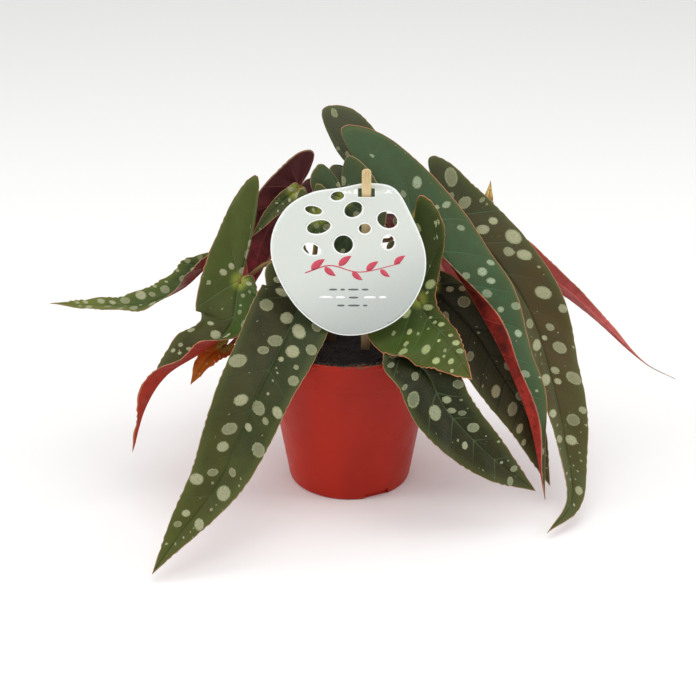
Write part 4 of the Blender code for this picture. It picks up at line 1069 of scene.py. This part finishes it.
LOOKS = {
    # The plus half's dark brown is the leaf's own, but its near-black stalk end is painted shadow from the
    # leaf above.
    "leaf_front_left": look_of(
        [(32, 29, 11), (55, 56, 23), (73, 77, 23)], [(34, 46, 20), (44, 52, 19), (73, 77, 25)],
        vein=(63, 84, 51), veins=7, spots=OLD_SPOTS, count=64, quilt=0.8, teeth=(0.7, 13)),
    "leaf_left_folded": look_of(
        [(69, 81, 29), (51, 45, 10), (65, 69, 13)], [(55, 78, 20), (49, 72, 18), (59, 76, 19)],
        veins=6, spots=FRESH_SPOTS, count=34, teeth=(0.9, 8), crimp=0.5, under=((150, 46, 36), (164, 50, 32)),
        margin=(190, 120, 92)),
    "leaf_far_left": look_of(
        [(51, 69, 29), (69, 85, 31), (109, 116, 42)], veins=7, spots=FRESH_SPOTS,
        count=36, teeth=(1.3, 7), crimp=0.6, edge=(102, 106, 38), under=((120, 54, 46), (130, 60, 50))),
    "leaf_left_maroon": look_of(
        [(71, 91, 55), (78, 100, 59), (83, 105, 62)], under=((78, 40, 40), (140, 57, 62)),
        under_spot=(90, 44, 44), under_vein=(140, 58, 62), veins=5, quilt=0.9),
    "leaf_left_young": look_of(
        [(56, 59, 30), (61, 66, 38), (64, 69, 38)], veins=4, spots=YOUNG_SPOTS, count=8,
        teeth=(0.4, 6), quilt=0.2),
    "leaf_left_small": look_of(
        [(174, 76, 13), (184, 94, 15), (174, 127, 33)], veins=4, spots=[(1.6, 2.6)], count=10, teeth=(0.8, 6),
        cream=(214, 140, 96), edge=(204, 87, 18), margin=(190, 110, 60), under=((190, 70, 40), (190, 90, 50)),
        vein=(197, 100, 22), brown=(151, 64, 7), crimp=0.5, quilt=0.3),
    "leaf_behind_card_left": look_of(
        [(62, 75, 36), (61, 75, 38), (61, 75, 38)], veins=4, spots=YOUNG_SPOTS, count=10),
    "leaf_behind_card": look_of(
        [(65, 82, 57), (58, 75, 52), (50, 64, 45)], veins=5, spots=YOUNG_SPOTS, count=14),
    "leaf_top_back": look_of(
        [(71, 74, 57), (64, 70, 50), (48, 54, 36)], veins=6, spots=YOUNG_SPOTS, count=18),
    # Its underside's first colour, near black at the stalk end, is painted shade on the folded half; the
    # crimson towards the tip is its own.
    "leaf_right_teal": look_of(
        [(62, 86, 57), (58, 85, 55), (51, 77, 42)], veins=8, spots=TEAL_SPOTS, count=50,
        vein=(78, 107, 76), under=((58, 20, 14), (176, 50, 38)), under_vein=(170, 60, 50),
        under_spot=(120, 40, 34), margin=(196, 128, 104), cream=(160, 178, 150), teeth=(0.35, 12)),
    "leaf_front_right": look_of(
        [(51, 70, 17), (58, 79, 20), (68, 77, 17)], [(46, 60, 15), (53, 71, 17), (74, 66, 23)],
        veins=5, spots=FRESH_SPOTS, count=38, teeth=(1.1, 6), crimp=0.6, margin=(206, 128, 92),
        edge=(74, 82, 21), cream=(176, 188, 126)),
    "leaf_right_outer": look_of(
        [(62, 72, 50), (69, 61, 31), (69, 72, 35)], [(54, 60, 37), (71, 56, 28), (69, 74, 36)],
        veins=9, spots=OLD_SPOTS, count=80, brown=(81, 53, 20), specks=1.0,
        teeth=(0.6, 14)),
    "leaf_far_right": look_of(
        [(82, 94, 60), (93, 105, 64), (126, 128, 77)], veins=7, under=((163, 73, 67), (204, 98, 99)),
        under_vein=(170, 90, 80), teeth=(0.5, 9), spots=[(2, 4), (1, 2)], count=24, margin=(190, 130, 100)),
    "leaf_right_young": look_of(
        [(216, 231, 179), (252, 221, 136), (255, 223, 125)],
        veins=5, spots=[(1, 2)], count=22, teeth=(0.7, 4),
        edge=(255, 209, 128), quilt=0.2, cream=(214, 206, 160)),
    # Deep in the plant: its near-black greens and dulled spots are painted shade.
    "leaf_front_right_low": look_of(
        [(16, 22, 4), (21, 25, 4), (40, 35, 4)], [(17, 27, 6), (20, 27, 5), (40, 36, 5)],
        veins=7, spots=OLD_SPOTS, count=34, cream=(150, 156, 126), teeth=(0.7, 12), specks=0.4),
    # Deep in the plant: its near-black browns and dimmed tan spots are painted shade.
    "leaf_right_brown": look_of(
        [(31, 27, 15), (47, 40, 23), (67, 57, 27)], veins=8, spots=OLD_SPOTS, count=36,
        cream=(160, 146, 114), vein=(16, 16, 7), brown=(49, 32, 16), specks=0.5, teeth=(0.6, 13)),
    "leaf_back_left": look_of(
        [(48, 59, 32), (58, 69, 37), (75, 80, 35)], veins=6, spots=OLD_SPOTS, count=60, teeth=(0.7, 11)),
    "leaf_back_right": look_of(
        [(55, 75, 54), (53, 73, 51), (60, 75, 44)], veins=6, spots=OLD_SPOTS, count=60, teeth=(0.7, 11)),
    "leaf_back_low": look_of(
        [(43, 38, 21), (60, 56, 28), (77, 73, 32)], veins=6, spots=OLD_SPOTS, count=60, teeth=(0.7, 11)),
}


def make_leaf(name):
    look = LOOKS[name]
    finishes = [leaf_top(name, look), leaf_under(name, look), leaf_rim(name, look)]
    blade = piece(name.replace("leaf", "blade"), blade_mesh(name, look), finishes, name)
    skin = blade.modifiers.new("skin", "SOLIDIFY")
    skin.thickness = BLADE_THICKNESS
    skin.offset = 0
    skin.material_offset = 1
    skin.material_offset_rim = 2


for leaf_name in LEAVES:
    make_leaf(leaf_name)

# %% [markdown]
# ## Stalks
#
# Each stalk starts inside its cane, at a swollen joint, bends over, and meets the underside of its blade
# square on, where it spreads a little. Its skin goes from red-brown near the cane to green at the blade.

# %% Stalks and canes
STALK_RADIUS = 1.9 * MM
STALK_THIN = 1.5 * MM
STALK_NECK = 6 * MM
STALK_STAND_OFF = 1.65 * MM


def make_stalk(name, material):
    cane, height, bend = LEAVES[name]["stalk"]
    axis = cane_at(cane, height)[0]
    below = -np.array([STALK_STAND_OFF + STALK_NECK, 0.2 * MM])
    ends = midrib_of(name).places(np.zeros(2), np.zeros(2), below)
    path = smooth_path([tuple(axis), *to_m([bend]), *ends], 14)
    share = walk(path) / walk(path)[-1]
    radii = STALK_RADIUS + (STALK_THIN - STALK_RADIUS) * share
    radii *= 1 + 0.30 * np.exp(-((share - 0.02) / 0.10) ** 2) + 0.25 * np.exp(-((share - 1) / 0.05) ** 2)
    mesh = stem_mesh(name, path, radii, 14)
    piece(name.replace("leaf", "petiole"), mesh, [material], name.replace("leaf", "stalk"))


stalk_skin = stem_skin("stalk_skin", shade(118, 112, 52), shade(120, 60, 38), 0.11, 0.20)
for leaf_name in LEAVES:
    make_stalk(leaf_name, stalk_skin)
cane_skin = stem_skin("cane_skin", shade(96, 98, 48), shade(84, 62, 40), 0.11, 0.16)
for cane_name in CANES:
    make_cane(cane_name, cane_skin)
print("stalks:", len(LEAVES), "canes:", len(CANES))

# %% [markdown]
# ## Fine roots
#
# Hair-thin dead roots lie over the peat and hang over the front of the rim. They are the same rolled stems,
# a third of a millimetre thick, along short wandering lines.

# %% Roots
ROOT_COUNT = 46
ROOT_RADIUS = 0.16 * MM
ROOT_STEPS = 7


def make_roots(material):
    draw = random.Random(5)
    bm = bmesh.new()
    for k in range(ROOT_COUNT):
        at_rim = k % 2 == 0
        angle = math.radians(draw.gauss(-86, 16)) if at_rim else draw.uniform(0, math.tau)
        far = wall_radius(SOIL_TOP) - 0.006 if at_rim else draw.uniform(0.01, 0.05)
        heading = angle + draw.uniform(-0.9, 0.9)
        points = []
        for step in range(ROOT_STEPS):
            x = far * math.cos(angle) + step * 0.0019 * math.cos(heading)
            y = far * math.sin(angle) + step * 0.0019 * math.sin(heading)
            inside = math.hypot(x, y) < wall_radius(SOIL_TOP) - POT_WALL - 0.0012
            points.append((x, y, soil_height(x, y) + 0.0006 if inside else POT_HEIGHT + 0.0004))
            heading += draw.uniform(-0.7, 0.7)
        path = smooth_path(points, 3)
        add_stem(bm, path, np.full(len(path), ROOT_RADIUS * draw.uniform(0.6, 1.2)), 5)
    bmesh.ops.recalc_face_normals(bm, faces=bm.faces)
    piece("peat_roots", mesh_of("peat_roots", bm), [material], None)


make_roots(peat("peat_root", shade(44, 32, 24), shade(120, 92, 62)))

# %% [markdown]
# ## The plant card
#
# A stiff coated card, cut in an uneven round with nine oval holes that let the spotted leaves show through,
# and a slot for the stick. The outline is a filled flat curve, which makes holes for free. It is then made a
# mesh and sliced finely enough to bend where the stick pushes it. Its silver face is laid on as ink later on,
# short of every cut, which leaves a white border.

# %% Card shape
CARD_LEAN = math.radians(7)
CARD_CENTRE = Vector((-0.0010, -0.0360, 0.1815))
CARD_THICKNESS = 0.0008
CARD_OUTLINE_CM = [
    (1.35, 5.20), (3.05, 4.90), (4.2, 3.05), (5.15, 0.60), (5.0, -1.65), (3.7, -3.85), (1.45, -5.1),
    (-1.05, -5.1), (-3.35, -3.45), (-4.9, -0.75), (-5.15, 1.5), (-4.2, 3.5), (-2.5, 4.60), (-0.5, 4.95),
]
CARD_HOLES_CM = [
    # middle across and up, half width, half height, turn in degrees
    (-0.72, 4.40, 0.45, 0.30, 10),
    (-2.30, 3.44, 0.58, 0.28, -12),
    (-1.97, 2.30, 0.79, 0.46, 12),
    (0.34, 3.50, 0.63, 0.50, 30),
    (1.10, 2.20, 0.40, 0.35, 0),
    (2.60, 2.78, 0.69, 0.55, -25),
    (2.68, 1.25, 0.41, 0.48, 0),
    (-0.33, 1.10, 0.64, 0.63, 0),
    (-2.45, 0.77, 0.58, 0.37, -20),
]
SLOT_CM = (1.20, 4.62)
SLOT_WIDTH = 0.0112
SLOT_HEIGHT = 0.0050
CARD_BULGE = 0.0030
BULGE_WIDTH = 0.010
BULGE_FALL = 0.012
CARD_REACH = 0.052
SLICE_SHIFT = 0.37
WELD = 2e-5
CARD_BORDER = 0.0009
SLOT_BORDER = 0.0003
CARD_SLICE = 0.0025


def card_bulge(x, z):
    """How far the card is pushed back by the stick above its slot, and forward below it."""
    across = math.exp(-((x - SLOT_CM[0] * CM) / BULGE_WIDTH) ** 2)
    over = z - SLOT_CM[1] * CM
    if over > 0:
        return CARD_BULGE * across
    return -CARD_BULGE * across * math.exp(over / BULGE_FALL)


def leaning(at, lean):
    """The frame of a part that leans back: its Z runs up the part and its Y away from the viewer."""
    return Matrix.Translation(at) @ Matrix.Rotation(-lean, 4, "X")


CARD_PLACE = leaning(CARD_CENTRE, CARD_LEAN) @ Matrix.Rotation(math.radians(90), 4, "X")


def ring(curve, points):
    spline = curve.splines.new("POLY")
    spline.points.add(len(points) - 1)
    for point, (x, y) in zip(spline.points, points):
        point.co = (x, y, 0, 1)
    spline.use_cyclic_u = True


def oval(x, y, half_width, half_height, turn, count=40):
    angles = [math.tau * i / count for i in range(count)]
    flat = [(half_width * math.cos(a), half_height * math.sin(a)) for a in angles]
    c, s = math.cos(math.radians(turn)), math.sin(math.radians(turn))
    return [(x * CM + (u * c - v * s) * CM, y * CM + (u * s + v * c) * CM) for u, v in flat]


def filled(name, loops, half_thickness):
    """A bmesh of a flat shape with holes, from closed loops of (x, y) points."""
    curve = bpy.data.curves.new(name, "CURVE")
    curve.dimensions = "2D"
    curve.fill_mode = "BOTH"
    curve.extrude = half_thickness
    for loop in loops:
        ring(curve, loop)
    obj = bpy.data.objects.new(name, curve)
    bpy.context.scene.collection.objects.link(obj)
    bpy.context.view_layer.update()
    mesh = bpy.data.meshes.new_from_object(obj.evaluated_get(bpy.context.evaluated_depsgraph_get()))
    bpy.data.objects.remove(obj)
    bm = bmesh.new()
    bm.from_mesh(mesh)
    bmesh.ops.remove_doubles(bm, verts=bm.verts, dist=1e-6)
    bmesh.ops.recalc_face_normals(bm, faces=bm.faces)
    return bm


def sliced(bm, half, step):
    """Cuts the mesh by planes across X and Y, so that it can bend."""
    bmesh.ops.triangulate(bm, faces=[f for f in bm.faces if len(f.verts) > 4])
    for axis in ((1, 0, 0), (0, 1, 0)):
        for k in range(-int(half / step), int(half / step) + 1):
            bmesh.ops.bisect_plane(bm, geom=bm.verts[:] + bm.edges[:] + bm.faces[:], dist=WELD,
                                   plane_co=Vector(axis) * (k + SLICE_SHIFT) * step, plane_no=axis)
    bmesh.ops.remove_doubles(bm, verts=bm.verts, dist=WELD)
    bmesh.ops.dissolve_degenerate(bm, edges=bm.edges, dist=WELD)


def bend_onto_card(bm, lift=0.0):
    for v in bm.verts:
        v.co.z += lift - card_bulge(v.co.x, v.co.y)
    bmesh.ops.transform(bm, matrix=CARD_PLACE, verts=bm.verts)


def drawn_in(loop, by):
    """A closed loop moved inwards by a distance."""
    loop = np.array(loop)[:, :2]
    ahead, behind = np.roll(loop, -1, axis=0), np.roll(loop, 1, axis=0)
    way = (ahead - behind) / np.linalg.norm(ahead - behind, axis=1)[:, None]
    turns = np.sign((loop[:, 0] * ahead[:, 1] - ahead[:, 0] * loop[:, 1]).sum())
    return loop + by * turns * np.column_stack([-way[:, 1], way[:, 0]])


def card_loops(border, slot_border):
    """The card's outline, its oval holes and its slot, each drawn back from the cut by a border."""
    x, y = SLOT_CM[0] * CM, SLOT_CM[1] * CM
    wide, high = SLOT_WIDTH / 2 + slot_border, SLOT_HEIGHT / 2 + slot_border
    slot_ring = [(x + a * wide, y + b * high) for a, b in ((-1, -1), (1, -1), (1, 1), (-1, 1))]
    outline = smooth_path([(a * CM, b * CM) for a, b in CARD_OUTLINE_CM], 10, closed=True)
    holes = [oval(a, b, w + border / CM, h + border / CM, turn) for a, b, w, h, turn in CARD_HOLES_CM]
    return [drawn_in(outline, border), *holes, slot_ring]


def make_card(border):
    bm = filled("card_sheet", card_loops(0, 0), CARD_THICKNESS / 2)
    sliced(bm, CARD_REACH, CARD_SLICE)
    bend_onto_card(bm)
    card = piece("card_sheet", mesh_of("card_sheet", bm), [border], "plant_card")
    card.data.set_sharp_from_angle(angle=math.radians(25))
    print("card_sheet:", len(card.data.polygons), "faces")


# %% Card finishes
CARD_SILVER = shade(214, 219, 212)
# The grey end of the painted sheen on the card's face.
CARD_SHEEN_GREY = shade(184, 190, 186)
CARD_WHITE = shade(246, 248, 246)


def card_face():
    """Silver ink with a painted sheen, lighter to the top and left and greyer to the bottom, and a fine
    metallic grain.
    """
    r = Recipe("card_face", CARD_SILVER, 0.42, IOR=1.5)
    spot = r.node("SeparateXYZ", {"Vector": r.own})
    # Painted sheen: the face is silver high up and to the left and grey low down, as light falls on it.
    slant = r.maths("ADD", spot.outputs["Z"], r.maths("MULTIPLY", spot.outputs["X"], -0.5))
    base = r.mix(r.fade(slant, 0.125, 0.19), CARD_SHEEN_GREY, CARD_SILVER)
    grain = r.noise(2600, detail=2)
    r.colour(r.mix(r.fade(grain, 0.35, 0.65, 0, 0.10), base, CARD_WHITE))
    r.rough(r.noise(120, detail=4), 0.34, 0.46)
    r.bump(grain, 0.00002, 0.6)
    return r.material


def card_border():
    r = Recipe("card_border", CARD_WHITE, 0.5, IOR=1.5)
    fibres = r.noise(700, detail=4)
    r.colour(r.mix(r.fade(fibres, 0.3, 0.8, 0, 0.25), CARD_WHITE, CARD_SILVER))
    r.rough(fibres, 0.42, 0.56)
    r.bump(fibres, 0.00003, 0.6)
    return r.material


make_card(card_border())

# %% [markdown]
# ## The print
#
# The printed words are left out. In their place stands a plain sprig of leaves in the same pinkish red, with
# three rows of grey and white dashes below it. Ink is a layer of its own here: strokes of varying width
# laid on the card's face, so they keep a crisp edge and follow its bend.

# %% Strokes of ink
FIELD_LIFT = 0.05 * MM
INK_LIFT = 0.10 * MM
DASH_TAPER = (0.5, 0.9, 1, 1, 0.9, 0.5)
INK_THICKNESS = 0.03 * MM
INK_ROSE = shade(200, 62, 84)
INK_GREY = shade(96, 100, 98)


def add_stroke(bm, path, widths):
    """A flat stroke on the card: a strip of grid along the path, as wide at each point as widths says."""
    path = np.array(path)
    steps = len(path) - 1
    way = np.gradient(path, axis=0)
    way /= np.linalg.norm(way, axis=1)[:, None]
    for v in bmesh.ops.create_grid(bm, x_segments=steps, y_segments=2, size=1)["verts"]:
        i = round((v.co.x + 1) / 2 * steps)
        off = v.co.y * widths[i] / 2
        v.co = (path[i][0] - way[i][1] * off, path[i][1] + way[i][0] * off, CARD_THICKNESS / 2)


def ink(name, colour):
    r = Recipe(name, colour, 0.45, IOR=1.5)
    speckle = r.noise(1800, detail=3)
    r.colour(r.mix(r.fade(speckle, 0.5, 0.8, 0, 0.2), colour, CARD_SILVER))
    r.rough(speckle, 0.38, 0.52)
    r.bump(speckle, 0.00001)
    return r.material


def lay_ink(name, bm, material, lift=INK_LIFT):
    bend_onto_card(bm, lift)
    print_piece = piece(name, mesh_of(name, bm), [material], None)
    layer = print_piece.modifiers.new("layer", "SOLIDIFY")
    layer.thickness = INK_THICKNESS


def make_sprig(material):
    """A wandering stem with seven wing-shaped leaves."""
    bm = bmesh.new()
    bends = [(-2.9, -0.85), (-1.2, -0.35), (0.8, -0.80), (3.5, -0.2)]
    stem = smooth_path([(x * CM, y * CM) for x, y in bends], 16)
    gone = walk(stem) / walk(stem)[-1]
    add_stroke(bm, stem, 0.0007 * (1 - 0.5 * gone) + 0.0002)
    for k in range(7):
        at = 0.06 + 0.145 * k
        start = np.array([np.interp(at, gone, stem[:, i]) for i in (0, 1)])
        up = 1 if k % 2 == 0 else -1
        lean = math.radians(52) * up
        long = (0.0118 - 0.0004 * k) * (0.85 if up < 0 else 1.0)
        t = np.linspace(0, 1, 15)
        bend = lean * (1 - 0.45 * t)
        leaf_line = start + np.cumsum(np.array([np.cos(bend), np.sin(bend)]).T * long / 14, axis=0)
        add_stroke(bm, leaf_line, long * 0.42 * np.sin(math.pi * t ** 0.75) ** 0.9 + 0.0001)
    lay_ink("card_print_sprig", bm, material)


def make_dashes(name, rows, material):
    """Rows of short dashes. A row is its height on the card, its left end, and the lengths of its dashes."""
    bm = bmesh.new()
    for y, x, lengths, thick in rows:
        for length in lengths:
            line = [(a * CM, y * CM) for a in np.linspace(x, x + length, len(DASH_TAPER))]
            add_stroke(bm, line, [thick * CM * c for c in DASH_TAPER])
            x += length + 0.22
    lay_ink(name, bm, material)


def make_field(material):
    """The silver ground: a layer of ink that stops short of every edge, so that a white border is left."""
    bm = filled("card_print_field", card_loops(CARD_BORDER, SLOT_BORDER), 0)
    if sum(f.normal.z for f in bm.faces) < 0:
        bmesh.ops.reverse_faces(bm, faces=bm.faces)
    sliced(bm, CARD_REACH, CARD_SLICE)
    bmesh.ops.translate(bm, vec=(0, 0, CARD_THICKNESS / 2), verts=bm.verts)
    lay_ink("card_print_field", bm, material, FIELD_LIFT)


make_field(card_face())
make_sprig(ink("ink_rose", INK_ROSE))
make_dashes("card_print_grey", [(-2.02, -1.3, (0.55, 0.3, 0.7, 0.45), 0.13), (-2.58, 0.05, (0.62,), 0.13),
                                (-3.14, -0.75, (0.5, 0.8, 0.3), 0.13)], ink("ink_grey", INK_GREY))
make_dashes("card_print_white", [(-2.58, -1.95, (0.9, 0.6), 0.20), (-2.58, 1.05, (0.8, 0.5), 0.20)],
            ink("ink_white", CARD_WHITE))

# %% [markdown]
# ## The stick
#
# A flat birch stick, rounded at the top, comes up behind the card and leans forward through its slot. A
# stretched cube has its top corners rounded with a wide bevel, and all its other edges with a narrow one.

# %% Stick
STICK_LEAN = math.radians(-6)
STICK_FOOT = Vector((0.0110, -0.0177, SOIL_TOP))
STICK_LENGTH = 0.1385
STICK_BURIED = 0.038
STICK_WIDTH = 0.0062
STICK_THICKNESS = 0.0020


def make_stick(material):
    bm = bmesh.new()
    size = Matrix.Diagonal((STICK_WIDTH, STICK_THICKNESS, STICK_LENGTH + STICK_BURIED, 1))
    middle = (STICK_LENGTH - STICK_BURIED) / 2
    bmesh.ops.create_cube(bm, size=1, matrix=Matrix.Translation((0, 0, middle)) @ size)
    top = [e for e in bm.edges if all(v.co.z > middle for v in e.verts)
           and abs(e.verts[0].co.y - e.verts[1].co.y) > STICK_THICKNESS / 2]
    bmesh.ops.bevel(bm, geom=top, offset=0.42 * STICK_WIDTH, segments=8, profile=0.5, affect="EDGES",
                    material=-1)
    sharp = [e for e in bm.edges if e.calc_face_angle(0) > math.radians(50)]
    bmesh.ops.bevel(bm, geom=sharp, offset=0.0005, segments=3, profile=0.5, affect="EDGES", material=-1)
    bmesh.ops.transform(bm, matrix=leaning(STICK_FOOT, STICK_LEAN), verts=bm.verts)
    stick = piece("wooden_stick", mesh_of("wooden_stick", bm), [material], "card_stick")
    stick.data.set_sharp_from_angle(angle=math.radians(50))


def birch():
    """Pale wood: long grain up the stick, darker pores, and a stained foot where it stands in wet peat."""
    r = Recipe("birch", BIRCH_PALE, 0.6, IOR=1.45)
    up_the_stick = (STICK_LEAN, 0, 0)
    grain = r.noise(900, r.stretched((1, 1, 0.05), up_the_stick), detail=5, rough=0.65)
    rings = r.noise(220, r.stretched((1, 1, 0.03), up_the_stick), detail=2)
    base = r.mix(r.fade(rings, 0.35, 0.7), BIRCH_PALE, BIRCH_WARM)
    base = r.mix(r.fade(grain, 0.5, 0.75, 0, 0.6), base, BIRCH_GRAIN)
    height = r.node("SeparateXYZ", {"Vector": r.own}).outputs["Z"]
    r.colour(r.mix(r.fade(height, SOIL_TOP, SOIL_TOP + 0.012, 0.8, 0), base, BIRCH_WET))
    r.rough(grain, 0.5, 0.72)
    r.bump(grain, 0.00012)
    return r.material


BIRCH_PALE = shade(226, 202, 156)
BIRCH_WARM = shade(206, 178, 128)
BIRCH_GRAIN = shade(168, 132, 84)
BIRCH_WET = shade(96, 66, 40)
make_stick(birch())

# %% [markdown]
# ## Floor, light and camera
#
# The plant stands on a pale floor in soft studio light. Two tall soft boxes at the sides make the bands of
# light down the pot's flanks, a wide one overhead lights the leaves, and a pale sky fills the shadows. The
# camera looks down 25 degrees from about a metre away.

# %% Floor
def make_floor():
    bm = bmesh.new()
    bmesh.ops.create_circle(bm, cap_ends=True, segments=96, radius=7)
    bmesh.ops.recalc_face_normals(bm, faces=bm.faces)
    mesh = mesh_of("floor", bm)
    floor = bpy.data.objects.new("floor", mesh)
    bpy.context.scene.collection.objects.link(floor)
    mesh.materials.append(Recipe("floor", (0.92, 0.92, 0.91), 0.75).material)


# %% Light
def soft_box(name, place, width, height, power, colour=(1, 1, 1)):
    light = bpy.data.lights.new(name, "AREA")
    light.shape = "RECTANGLE"
    light.size, light.size_y = width, height
    light.energy = power
    light.color = colour
    obj = bpy.data.objects.new(name, light)
    bpy.context.scene.collection.objects.link(obj)
    obj.location = place
    obj.rotation_euler = (PLANT_MIDDLE - Vector(place)).to_track_quat("-Z", "Y").to_euler()


PLANT_MIDDLE = Vector((0, 0, 0.12))


def make_light():
    sky = bpy.data.worlds.new("sky")
    sky.use_nodes = True
    sky.node_tree.nodes["Background"].inputs["Color"].default_value = (1, 1, 1, 1)
    sky.node_tree.nodes["Background"].inputs["Strength"].default_value = 0.72
    bpy.context.scene.world = sky
    soft_box("left_box", (-1.6, -0.35, 0.7), 0.7, 1.4, 12)
    soft_box("right_box", (1.6, -0.35, 0.7), 0.7, 1.4, 10)
    soft_box("top_box", (0.1, -0.2, 1.7), 1.2, 1.2, 9)
    bpy.context.scene.view_settings.view_transform = "Standard"


# %% Camera
FOCAL_LENGTH = 79.655
CAMERA_PLACE = (-0.0012, -0.99694, 0.56473)
LOOKING_DOWN = 25


def make_camera():
    lens = bpy.data.cameras.new("camera")
    lens.lens = FOCAL_LENGTH
    lens.sensor_width = 36
    lens.clip_start, lens.clip_end = 0.05, 50
    camera = bpy.data.objects.new("camera", lens)
    bpy.context.scene.collection.objects.link(camera)
    camera.location = CAMERA_PLACE
    camera.rotation_euler = (math.radians(90 - LOOKING_DOWN), 0, 0)
    bpy.context.scene.camera = camera


make_floor()
make_light()
make_camera()
